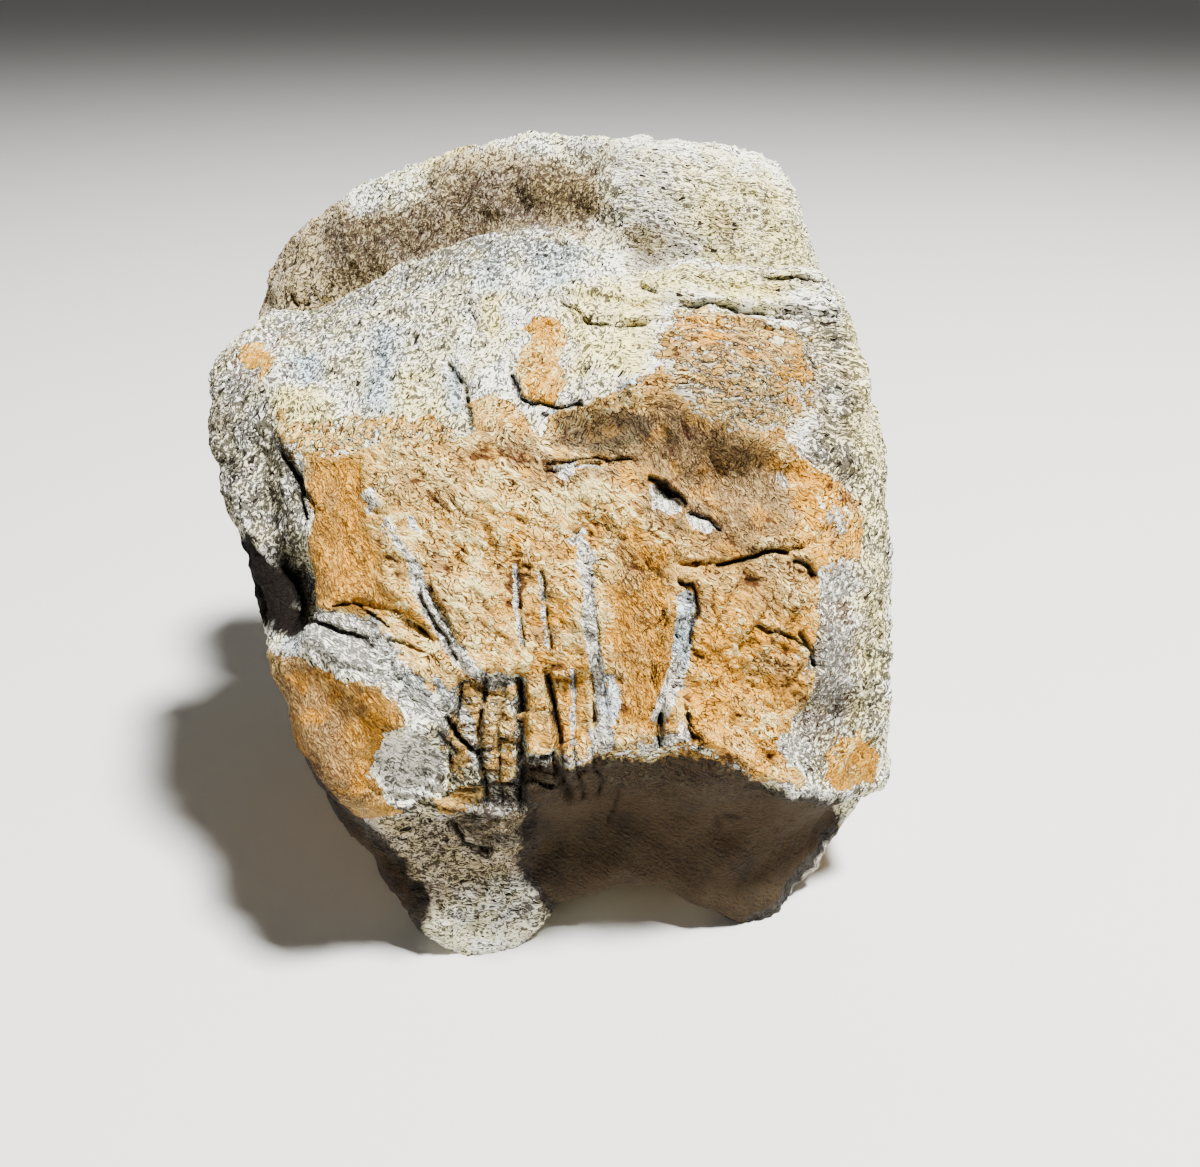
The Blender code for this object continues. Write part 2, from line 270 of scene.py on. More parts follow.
@dataclass(frozen=True)
class Patch:
    """An area of one kind of surface: its outline in millimetres, strength and edge."""

    outline: Outline
    strength: float = 1.0
    feather: float = 0.7
    ragged: float = 1.0

    def cover(self, across: np.ndarray, up: np.ndarray) -> np.ndarray:
        """How much of the patch is at every point, from 0 to its strength."""
        nearest = np.full(across.shape, np.inf)
        within = np.zeros(across.shape, dtype=bool)
        for (ax, ay), (bx, by) in zip(self.outline, self.outline[1:] + self.outline[:1]):
            dx, dy = bx - ax, by - ay
            t = np.clip(((across - ax) * dx + (up - ay) * dy) / (dx * dx + dy * dy), 0, 1)
            nearest = np.minimum(nearest, np.hypot(across - ax - t * dx, up - ay - t * dy))
            if ay != by:
                crosses = ((ay > up) != (by > up)) & (across < dx * (up - ay) / dy + ax)
                within ^= crosses
        signed = np.where(within, nearest, -nearest)
        return self.strength * smoothstep(signed, -self.feather, self.feather)


class Surface(Enum):
    """The kinds of surface that old bone shows, each kept as a mask on the mesh; the dark hollow
    mask is painted shade, and the dark brown staining mask is partly painted shade.
    """

    SKIN = "brown outer skin"
    OCHRE = "bright orange skin"
    # Real dark staining, partly painted shade: the undercut, the lower-left side and behind the
    # crest.
    STAIN_AND_SHADE = "dark brown stain"
    CHALK = "chalky white bone and veins"
    BLUE = "bluish white spongy bone"
    YELLOW = "yellowish cream spongy bone"
    GREY = "grey spongy bone"
    OPEN = "open dark pores"
    # Painted shade: near-black painted into hollows, holes, open joints and the shaded lower-left
    # side.
    SHADE = "dark hollow"
    EARTH = "olive brown earthy bone"


PATCHES: dict[Surface, tuple[Patch, ...]] = {
    Surface.SKIN: (
        Patch(((15, 66), (17, 72), (20, 75), (26, 75), (34, 73.5), (40, 70), (38, 64), (30, 66),
               (22, 68)), 0.64, 1.6, 2.2),
        Patch(((17, 68), (22, 69), (30, 67), (38, 66), (40, 60), (34, 58), (26, 57.5),
               (18, 60)), 0.5, 2.0, 1.4),
        Patch(((-11, 23), (-3, 24), (-3, 10), (-12, 10)), 0.66, 1.0, 2.4),
        Patch(((-6, 15), (-4.8, 15), (-4.8, 12), (-6, 12)), 0.8, 0.5, 0.5),
        Patch(((-32, 55), (-28, 54), (-20, 56), (-12, 55.5), (-8, 57), (-9, 61), (-6, 63),
               (-3, 61), (0, 57.5), (3, 60.5), (9, 61.5), (12, 63.5), (17, 66), (20, 60),
               (28, 57.5), (34, 58),
               (37, 54), (44, 50.5), (46, 46), (46, 41), (42, 39), (39, 36), (38, 31), (38, 25),
               (38, 20), (36, 16), (35, 12), (38, 8), (31, 9), (27, 12), (22, 14.5), (16, 14.5),
               (9, 14), (2, 13.5), (-1.8, 14), (-1.9, 24), (-6, 25), (-10, 23.5), (-13, 21),
               (-17, 24), (-21, 28), (-22, 31),
               (-26, 33.5), (-30, 34), (-31, 40), (-30, 46), (-32, 51))),
        Patch(((-40, 27), (-32, 27), (-27, 25), (-22, 24), (-17, 20.5), (-17, 18), (-20, 16),
               (-22, 11), (-20, 7.5), (-18, 5.5), (-22, 4.5), (-26, 4), (-40, 8))),
        Patch(((-0.5, 74.5), (2.5, 74), (4, 72), (3, 68), (4, 64), (2.5, 61.5), (0, 61), (-2, 63),
               (-3, 66), (-2.5, 69), (-1, 71), (-2, 73)), feather=0.3, ragged=0.7),
        Patch(((-46, 72.5), (-43, 73.5), (-41, 71), (-39, 70), (-38.5, 67), (-40, 65.5),
               (-41.5, 68), (-45.5, 70)), feather=0.4),
        Patch(((42, 14), (46, 15), (50, 13), (51, 6), (46, 5), (41, 8)), 0.8, 1.5, 1.6),
        Patch(((-14, 8), (-8, 9.5), (-6, 7.5), (-13, 5)), 0.8),
        Patch(((-44, 16), (-32, 13), (-26, 3), (-21, -4), (-19, -9), (-21, -22), (-44, -22))),
        Patch(((-2, 12), (10, 13.5), (18, 13.5), (24, 13), (31, 8.5), (37, 5), (45, 3), (46, -2),
               (40, -6), (38, -12), (30, -18), (2, -12), (-2, -4), (0, 6)), 1.0, 1.0, 1.0),
        Patch(((-34, 59), (-26, 58), (-26, 56.5), (-34, 57)), 0.8, 0.5, 1.8),
        Patch(((-24, 59.5), (-13, 60), (-12, 58), (-24, 57.5)), 0.75, 0.5, 1.8),
        Patch(((-38, 60), (-12, 60), (-10, 55), (-36, 54)), 0.56, 1.2, 2.4),
        Patch(((-36.5, 60), (-35, 60), (-35, 57), (-36.5, 57.5)), 0.8, 0.4, 1.0),
    ),
    Surface.OCHRE: (
        Patch(((-31, 54), (-24, 53), (-24, 46), (-21, 41), (-20, 34), (-21, 31.5), (-25, 33.5),
               (-29, 35), (-30.5, 42), (-29.5, 48)), 1.0, 1.2),
        Patch(((-33, 26), (-24.5, 24), (-19, 21.5), (-17, 19), (-20, 15), (-22, 8), (-30, 8),
               (-36, 18)), 0.95, 1.2),
        Patch(((19.5, 73), (26, 73.5), (27, 69.5), (20.5, 69)), 0.9, 1.0),
        Patch(((28.5, 69), (31.5, 68.5), (31, 65), (29, 65.5)), 0.8, 0.8),
        Patch(((32.5, 66), (37, 67), (39, 63), (37, 60.5), (34, 62)), 0.9, 0.8),
        Patch(((31, 58), (36, 58.5), (38, 54), (44, 50), (46, 42), (38, 40), (34, 44), (35, 52),
               (31, 54)), 0.9, 1.2),
        Patch(((12.5, 47.5), (16, 47.5), (19, 44), (18, 38), (13, 40), (11.5, 44)), 0.95, 1.0),
        Patch(((9, 36), (17.5, 37), (18.5, 29), (16.5, 22), (16, 17), (11, 18), (11.5, 25),
               (8.5, 29)), 0.85, 1.4),
        Patch(((22, 36), (37, 36), (38, 24), (34, 12), (30, 12), (22, 17), (21, 26)), 0.7, 3.0),
        Patch(((2, 24), (6.5, 24.5), (7, 16), (2.2, 14)), 0.9, 0.4, 0.4),
        Patch(((-2, 22), (1.5, 22), (1.5, 14), (-1.8, 15)), 0.7, 0.5, 0.4),
        Patch(((-3, 75), (4, 75), (4, 61), (-3, 61)), 0.45, 1.0),
        Patch(((-47, 74), (-38, 74), (-38, 65), (-47, 68)), 1.0, 1.0),
        Patch(((0, 34), (5, 34), (6, 26), (0, 26)), 0.6, 1.5),
        Patch(((38, 46), (46, 46), (47, 14), (37, 12)), 0.6, 1.5),
        Patch(((41, 14), (51, 14), (51, 5), (40, 6)), 0.7, 1.5),
    ),
    # Real dark staining, and painted shade where these patches darken shaded places.
    Surface.STAIN_AND_SHADE: (
        # Painted shade with some real staining: the lower-left side, turned from the light.
        Patch(((-44, 20), (-31, 15), (-24, 4.5), (-19.5, -3), (-16, -9), (-18, -22), (-44, -22)),
              1.0, 1.0),
        Patch(((-36, 20), (-30, 18), (-25, 8), (-27, 2), (-40, 6)), 0.4, 2.5, 1.6),
        Patch(((2.5, 60.5), (9, 61), (15, 60), (15.5, 55.5), (10, 54), (3, 54.5)), 0.85, 0.8),
        Patch(((10.5, 64.5), (13, 64.5), (13.5, 60.5), (10, 60.5)), 0.8, 0.6),
        Patch(((15, 64.5), (18, 65), (20.5, 60), (23, 56), (20, 53), (16, 55.5)), 0.6, 1.4, 1.6),
        Patch(((20, 58), (30, 57.5), (31, 51.5), (24, 50.5), (19, 51.5)), 0.4, 1.8, 1.6),
        # Painted shade with some real staining: the lobe just behind the crest.
        Patch(((-43, 97), (-36, 100), (-24, 99), (-14, 107), (-2, 107), (7, 104), (8, 98.5),
               (-2, 95.5), (-12, 92), (-22, 89.5), (-32, 87.5), (-38, 90), (-39, 94)),
              0.5, 2.2, 1.6),
        Patch(((4, 111), (14, 111), (14, 105.5), (5, 105.5)), 0.35, 2.0, 1.6),
        Patch(((14, 96), (22, 95), (22, 89), (14, 88.5)), 0.5, 1.5),
        Patch(((19, 69), (30, 66), (38, 70), (40, 64), (36, 60), (28, 58.5), (20, 60)), 0.3, 1.5),
        Patch(((24, 42), (35, 45.5), (36, 42.5), (30, 40), (25, 38.5)), 0.45, 1.2),
        Patch(((-30, 46.5), (-26, 46.5), (-26, 42), (-30, 42)), 0.4, 1.0),
        Patch(((-29.5, 39), (-26.5, 39), (-26.5, 35), (-29, 35)), 0.55, 0.8),
        # Painted shade with some real staining: the undercut between the stumps.
        Patch(((-3, 12.5), (10, 13.6), (24, 13), (31, 9), (46, 4), (47, -2), (39, -13), (31, -20),
               (1, -14), (-4, -4), (-2, 6)), 1.0, 0.8),
        Patch(((-12, 7), (-2, 11), (-2, 2), (-9, -2)), 0.7, 1.0),
        Patch(((-10, -1), (0, 0), (2, -8), (-9, -8)), 0.2, 1.0),
    ),
    Surface.CHALK: (
        Patch(((-31, 33), (-26, 33), (-20, 31), (-17, 26), (-11, 19.5), (-12, 17.5), (-18, 21),
               (-23, 25), (-31, 27.5)), 0.9, 0.8),
        Patch(((-21.5, 14), (-19, 16), (-15, 17), (-12.5, 14.5), (-13, 9), (-17, 7.5), (-20, 8)),
              1.0, 0.5),
        Patch(((15, 50), (17, 50), (20.5, 46.5), (19, 45.5), (16, 47)), 0.9, 0.5),
        Patch(((20.5, 45.5), (23, 45.5), (25, 44.5), (23, 43), (20.5, 44)), 0.95, 0.4),
        Patch(((1.8, 51.5), (3.5, 50.5), (5, 51.8), (9, 53), (5, 52.8), (2, 52.2)), 0.9, 0.4),
        Patch(((32.5, 52.5), (35, 52.8), (36, 50.5), (34, 50.2)), 0.7, 0.6),
        Patch(((40, 47), (43, 49), (44, 46), (43, 43.5), (40, 44)), 0.6, 0.9, 1.6),
        Patch(((39, 40), (43, 40.5), (44, 36.5), (41, 33.5), (39, 35)), 0.7, 0.8),
        Patch(((38, 31), (43, 32), (46, 24), (44, 16), (39, 20)), 0.62, 1.5, 2.2),
        Patch(((33, 14.5), (37, 16), (39, 13), (35, 10.5)), 0.8, 0.7),
        Patch(((34.5, 8), (40, 7.5), (41, 5.5), (36, 5.5)), 0.9, 0.6),
        Patch(((-24, 49), (-22, 49), (-21, 46.5), (-23, 46)), 0.9, 0.4),
        Patch(((-18, 46), (-15.5, 46), (-15, 43), (-17, 43)), 0.6, 0.5),
        Patch(((4.5, 43.5), (7, 43), (7, 41), (5, 42)), 0.8, 0.4),
        Patch(((45, -1), (47, -3), (43, -10), (34, -17), (31, -16), (38, -11), (41, -6)),
              1.0, 0.6),
        Patch(((8.6, 24.5), (10.2, 24.5), (11.6, 20.5), (10.6, 15), (9.8, 15), (10, 20)),
              0.8, 0.4),
        Patch(((6.3, 17), (8.4, 17), (8.8, 13.5), (6.8, 13.5)), 0.7, 0.4),
        Patch(((-6, 24.5), (-2, 24.5), (-2, 22.8), (-6, 22.8)), 0.7, 0.4),
        Patch(((13, 15.5), (17, 17), (21, 17), (21, 15), (14, 14.2)), 0.8, 0.5),
    ),
    Surface.BLUE: (
        Patch(((-37, 70.5), (-32, 70.5), (-31, 66), (-35, 65)), 0.9, 1.2),
        Patch(((-25, 74), (-20, 74), (-20, 61), (-24, 60)), 0.9, 1.5),
        Patch(((-13, 66), (-10, 65), (-9.5, 60), (-12, 60)), 0.9, 0.8),
        Patch(((-3, 88), (3, 91), (7, 88), (5, 80), (-1, 78)), 0.7, 1.8),
        Patch(((11.5, 65), (14.5, 65), (14.5, 60.5), (12, 60)), 1.0, 0.6),
        Patch(((1.5, 61), (6, 61), (4, 53), (1, 54)), 0.8, 0.8),
        Patch(((18.3, 35), (21.4, 35), (21, 26), (18.4, 25)), 1.0, 0.5),
        Patch(((8.6, 24.5), (11.6, 24), (11.6, 19), (9.5, 18)), 0.9, 0.5),
        Patch(((-9, 87), (-4, 87), (-6, 79), (-10, 79)), 0.6, 1.5),
        Patch(((-18, 24), (-11, 20), (-8, 24), (-14, 27)), 0.6, 1.2),
        Patch(((-34, 30), (-31, 31), (-31, 27), (-35, 27)), 0.8, 0.8),
        Patch(((19, 89), (25, 90), (26, 93), (20, 94)), 0.5, 1.2),
    ),
    Surface.YELLOW: (
        Patch(((-37, 64), (-30, 64.5), (-27, 60), (-30, 57), (-37, 57)), 0.8, 1.4),
        Patch(((-21, 66), (-13, 67), (-11, 58), (-20, 57)), 0.6, 1.4),
        Patch(((4, 80), (14, 80), (18, 76), (14, 65), (4, 65)), 0.75, 1.4),
        Patch(((14, 84), (22, 86), (36, 82), (36, 77), (22, 78), (14, 78)), 0.7, 1.4),
        Patch(((24, 81), (35, 80), (35, 78), (25, 79)), 0.9, 0.5),
        Patch(((44, 76), (50, 74), (52, 40), (50, 10), (45, 10), (45.5, 40), (43, 56)), 0.55, 1.5),
        Patch(((-9, 79), (-5, 79), (-6, 71), (-9, 72)), 0.8, 0.8),
        Patch(((-12, 112), (-22, 110), (-24, 107), (-14, 109)), 0.8, 1.0),
        Patch(((-3, 105), (8, 105), (9, 98.5), (-2, 97.5)), 0.6, 1.4),
        Patch(((20, 108), (42, 104), (46, 88), (30, 86), (22, 96)), 0.6, 2.5),
    ),
    Surface.GREY: (
        Patch(((-50, 66), (-41, 68), (-38, 60), (-34, 53), (-31, 47), (-31, 40), (-38, 40),
               (-46, 46)), 0.7, 1.5),
        Patch(((-24, 5), (-12, 5), (-2, 8), (0, 2), (6, -12), (-6, -22), (-20, -14)), 0.5, 1.2),
        Patch(((37, 33), (42, 33), (46, 28), (47, 15), (40, 11), (36, 13), (38, 20)), 0.5, 1.2),
        Patch(((2, 112), (20, 112), (22, 96), (14, 92), (8, 96), (4, 104)), 0.55, 2.0),
        Patch(((-40, 84), (-5, 95), (-6, 89), (-40, 76)), 0.4, 1.4),
        Patch(((-12, 12), (-2, 14), (-2, 7), (-12, 6)), 0.5, 0.8),
        Patch(((-46, 94), (-36, 99), (-30, 96), (-40, 88)), 0.4, 1.4),
    ),
    Surface.OPEN: (
        Patch(((-44, 76), (-38, 80), (-20, 88), (-4, 95), (8, 91), (6, 84), (-10, 82), (-26, 78),
               (-40, 70)), 0.75, 2.5),
        Patch(((-54, 72), (-44, 72), (-39, 62), (-34, 53), (-31, 45), (-31, 34), (-40, 44),
               (-50, 50)), 0.8, 1.5),
        Patch(((35, 76), (45, 78), (47, 60), (46, 50), (38, 54), (39, 64)), 1.0, 1.5),
        Patch(((20, 69), (32, 66), (34, 60), (28, 58), (19, 62)), 0.9, 1.5),
        Patch(((-40, 97), (-20, 106), (6, 108), (24, 108), (44, 102), (46, 88), (24, 92), (8, 96),
               (-20, 92), (-38, 87)), 0.6, 2.0),
        Patch(((37, 35), (43, 37), (46, 28), (47, 15), (42, 8), (35, 10), (38, 20)), 0.8, 1.5),
        Patch(((-22, 6), (-10, 6), (0, 10), (2, -4), (6, -14), (-20, -16)), 0.7, 1.5),
        Patch(((-13, 24), (-2, 24), (-2, 8), (-13, 8)), 0.5, 1.5),
        Patch(((45, 76), (52, 74), (53, 20), (50, 3), (46, 5), (46, 40)), 0.5, 1.5),
        Patch(((-40, 76), (-20, 84), (-8, 86), (-8, 74), (-20, 66), (-40, 66)), 0.35, 3.0),
        Patch(((16, 82), (30, 86), (48, 84), (47, 78), (30, 79), (18, 80)), 0.35, 1.5),
        Patch(((-34, 33), (-22, 33), (-12, 19), (-20, 22), (-33, 27)), 0.6, 1.0),
    ),
    Surface.EARTH: (
        Patch(((-54, 80), (-54, 94), (-48, 102), (-38, 105), (-33, 100), (-25, 99), (-20, 107),
               (-12, 111), (-4, 109.5), (7, 106), (11, 99), (6, 93), (-4, 97), (-15, 92),
               (-25, 88), (-35, 84), (-42, 79.5), (-50, 78)), 0.95, 1.2, 1.2),
        Patch(((8, 58), (14, 61), (19, 60), (28, 57), (33, 55), (36, 50), (35, 44), (28, 43),
               (22, 41), (16, 43), (13, 49), (7, 51), (1, 49), (-4, 52), (-8, 58), (0, 57)),
              0.95, 1.6, 1.4),
        Patch(((22, 41), (30, 44), (36, 40), (34, 32), (24, 33)), 0.45, 2.5, 1.6),
        Patch(((-40, 27), (-32, 27), (-26, 22), (-23, 12), (-22, 4), (-40, 4)), 0.85, 3.0, 1.6),
        Patch(((-22, 56), (-6, 57), (-8, 46), (-20, 47)), 0.4, 2.5, 1.8),
        Patch(((13, 96), (24, 95), (26, 90), (20, 88), (13, 88)), 0.6, 1.8),
        Patch(((26, 99), (32, 99), (31, 91), (26, 92)), 0.6, 1.8),
        Patch(((-21, 108), (-13, 112), (-12, 109), (-20, 106.5)), 0.8, 0.8),
        Patch(((34, 78), (44, 75), (46, 62), (44, 50), (38, 55), (39, 66)), 0.4, 1.5),
        Patch(((-50, 64), (-44, 63), (-45, 58), (-50, 57)), 0.6, 1.2),
        Patch(((-22, 5), (-8, 5), (2, 4), (4, -10), (0, -6), (-12, -8), (-18, -14), (-26, -6)),
              0.8, 1.5, 1.4),
        Patch(((-12.5, 24), (-3, 24), (-3, 12), (-12, 10)), 0.35, 1.5),
        Patch(((38, 34), (44, 34), (46, 22), (40, 12), (37, 22)), 0.25, 1.5),
        Patch(((16, 70), (30, 74), (40, 70), (41, 60), (30, 57), (18, 60)), 0.6, 2.0, 1.6),
    ),
    # Painted shade: the left hollow, holes, the open joints of the block break and the lower-left
    # side.
    Surface.SHADE: (
        Patch(((-56, 41), (-44, 43.5), (-39.5, 43), (-37.5, 40), (-34.2, 37.5), (-32.6, 34),
               (-31.6, 31), (-33.4, 29.3), (-36.5, 30.5), (-40, 31), (-54, 31)), 1.0, 0.5, 1.0),
        Patch(((15.2, 50.8), (17, 50.6), (20.2, 47.4), (19.6, 46.6), (17, 48.9)), 1.0, 0.3, 0.5),
        Patch(((15.8, 19), (17.4, 18.6), (17.8, 15.6), (16.4, 15.2)), 1.0, 0.5, 1.2),
        Patch(((20.8, 17), (22.6, 16.6), (22.8, 15), (21.4, 14.8)), 1.0, 0.5, 1.2),
        Patch(((-3.5, 13.4), (3.4, 13.4), (3.2, 12.5), (-3, 12.3)), 0.9, 0.3, 0.4),
        Patch(((-2.9, 24), (-1.8, 24), (-1.5, 13), (-2.6, 13)), 1.0, 0.3, 0.35),
        Patch(((0.9, 24.5), (2.0, 24.5), (4.5, 12), (3.5, 12)), 1.0, 0.3, 0.35),
        Patch(((-7.3, 24), (-6.6, 24), (-7.2, 9), (-8, 9)), 0.9, 0.3, 0.5),
        Patch(((-9.5, 9.6), (-3, 9.8), (-3, 8.9), (-9.5, 8.6)), 0.9, 0.3, 0.5),
        Patch(((-14, 17.8), (-12.8, 18), (-10, 14.4), (-10.8, 13.8)), 1.0, 0.3, 0.5),
        Patch(((-18, 6.6), (-11, 6.4), (-11, 5.6), (-18, 5.7)), 0.9, 0.3, 0.5),
        Patch(((-14, 4), (-9, 5), (-8, 2), (-12, 1)), 0.7, 0.6, 1.0),
        Patch(((-10, -0.5), (-4, 2), (-1, 4), (0, 1.5), (-5, -1.5)), 0.6, 0.6, 1.0),
        Patch(((-56, 18), (-34, 22), (-30, 10), (-25, 2), (-20, -5), (-18, -14), (-30, -20),
               (-56, -10)), 0.45, 3.0, 1.0),
        Patch(((-36, 58), (-33.6, 54), (-31.8, 50.4), (-30.4, 46.4), (-31.4, 46), (-33, 49),
               (-35, 53), (-37.4, 57)), 0.85, 0.4, 0.6),
        Patch(((-46, 54.5), (-43, 54.5), (-41, 52), (-43.5, 51.5)), 0.8, 0.6, 0.6),
        Patch(((-30, 33.8), (-24, 34.4), (-20.6, 31.4), (-21.4, 30.6), (-25, 32.8), (-30, 32.8)),
              0.75, 0.4, 0.6),
    ),
}

# Where the fibres fall steeply to the right.
STEEP = (
    Patch(((-56, 28), (-30, 28), (-22, 24), (-15, 19), (-21, 12), (-20, 5), (-40, -12),
           (-56, -10)), 1.0, 1.0),
    Patch(((14, 60), (26, 59), (34, 52), (33, 44), (24, 42), (18, 46), (14, 52)), 1.0, 1.5),
    Patch(((-32, 54), (-25, 54), (-22, 42), (-20, 33), (-30, 35)), 1.0, 1.0),
    Patch(((11, 42), (18, 42), (18, 18), (10, 18)), 1.0, 1.5),
)

# Clouds on the unseen sides: surface, strength, size in mm, seed, and where they set in.
UNSEEN_CLOUDS = (
    (Surface.OCHRE, 0.8, 14.0, 21.0, 0.0, 0.35),
    (Surface.STAIN_AND_SHADE, 0.6, 12.0, 37.0, 0.1, 0.4),
    (Surface.YELLOW, 0.5, 15.0, 51.0, 0.0, 0.4),
    (Surface.GREY, 0.6, 13.0, 57.0, 0.0, 0.4),
)

# Pale veins that fill old cracks, and thin open cracks that the solids don't carry.
VEINS = (
    Line(((6.6, 41), (6.8, 36), (7.2, 31), (8, 26), (8.8, 20), (9.6, 15)), 0.95, 1.0),
    Line(((20.3, 34.5), (19.9, 30), (19.3, 26), (18, 22.5), (16.8, 19)), 1.3, 1.0),
    Line(((-2.6, 39), (-2.4, 34), (-2, 29)), 0.38, 0.8),
    Line(((0.4, 38), (1.2, 33), (1.6, 28)), 0.38, 0.8),
    Line(((-16, 38.5), (-14.6, 35), (-12, 30), (-9.5, 26.5), (-6, 23)), 1.1, 0.85),
    Line(((-13, 24), (-9, 18), (-8, 12)), 0.9, 0.6),
    Line(((-20, 45), (-17, 40), (-16, 38)), 0.7, 0.6),
    Line(((4.9, 25), (4.9, 15)), 0.4, 0.8),
)
HAIRLINES = (
    Line(((5, 43.4), (7.6, 42.4), (7.8, 36), (8.1, 31), (8.8, 25), (9.8, 19), (10.4, 14)),
         0.26, 0.6),
    Line(((19.2, 36.8), (21, 36.9), (21.9, 35.6), (21.5, 32), (20.6, 28.5)), 0.38, 1.1),
    Line(((-2.2, 38.5), (-2.0, 33), (-1.6, 28.5)), 0.3, 0.7),
    Line(((0.9, 38), (1.7, 33), (2.1, 28)), 0.32, 0.8),
    Line(((-15, 35), (-13.8, 32.2), (-12, 29.6), (-10.4, 27)), 0.4, 0.9),
    Line(((1.5, 52.6), (5, 53.4), (8, 53.8), (12.5, 53.4)), 0.3, 1.0),
    Line(((15.2, 50.6), (17.4, 50), (19.2, 48.4), (20.2, 47)), 0.55, 1.2),
    Line(((21, 46), (23.5, 45.9), (25.4, 44.2)), 0.4, 1.0),
    Line(((24.5, 39.2), (28, 39.5), (31, 41), (34.4, 41.3)), 0.45, 1.1),
    Line(((35.5, 39.8), (38.4, 38.2)), 0.6, 1.2),
    Line(((30.5, 31.2), (32, 29.8), (35.5, 29.4), (38, 27.5)), 0.45, 0.9),
    Line(((36.4, 30), (38.8, 25.5)), 0.5, 1.0),
    Line(((3, 77), (6, 74.2), (10, 72.6), (15, 73)), 0.35, 0.8),
    Line(((-12, 82), (-9.5, 76), (-8, 71.5)), 0.35, 0.7),
    Line(((-12.5, 67), (-10, 63.6), (-8.6, 58)), 0.6, 0.9),
    Line(((-3.4, 65), (-2.2, 61.8), (2.6, 60.6), (6, 61.2)), 0.45, 1.0),
    Line(((-26.5, 33.7), (-24, 33.8), (-21.8, 32.4), (-19.6, 30.8)), 0.36, 1.0),
    Line(((-31, 31.8), (-28, 31.2), (-25, 30.4), (-21.5, 28.4)), 0.45, 1.0),
    Line(((-12, 19), (-10.4, 16), (-8, 14)), 0.6, 1.2),
    Line(((14, 81), (17, 78)), 0.35, 0.8),
    Line(((26, 84), (33, 81.5), (43, 80)), 0.4, 0.9),
    Line(((20, 76.2), (26, 76.4), (36, 74.4)), 0.4, 0.9),
    Line(((-35.4, 54.6), (-33.2, 51.6), (-31.6, 48.4), (-31, 45)), 0.5, 1.2),
    Line(((-45, 86.4), (-43.6, 85), (-41.6, 85.6)), 0.45, 0.9),
    Line(((26.6, 2.6), (30, 2.4)), 0.28, 0.6),
    Line(((12, 9), (10.8, 4), (9.6, 2)), 0.35, 0.6),
    Line(((-12, 4), (-11, 0), (-7, -1.5)), 0.7, 1.2),
    Line(((16.9, 19), (16.6, 17), (17.2, 14.6)), 0.4, 1.2),
    Line(((20.2, 18.8), (21, 17), (22.2, 15)), 0.4, 1.1),
)


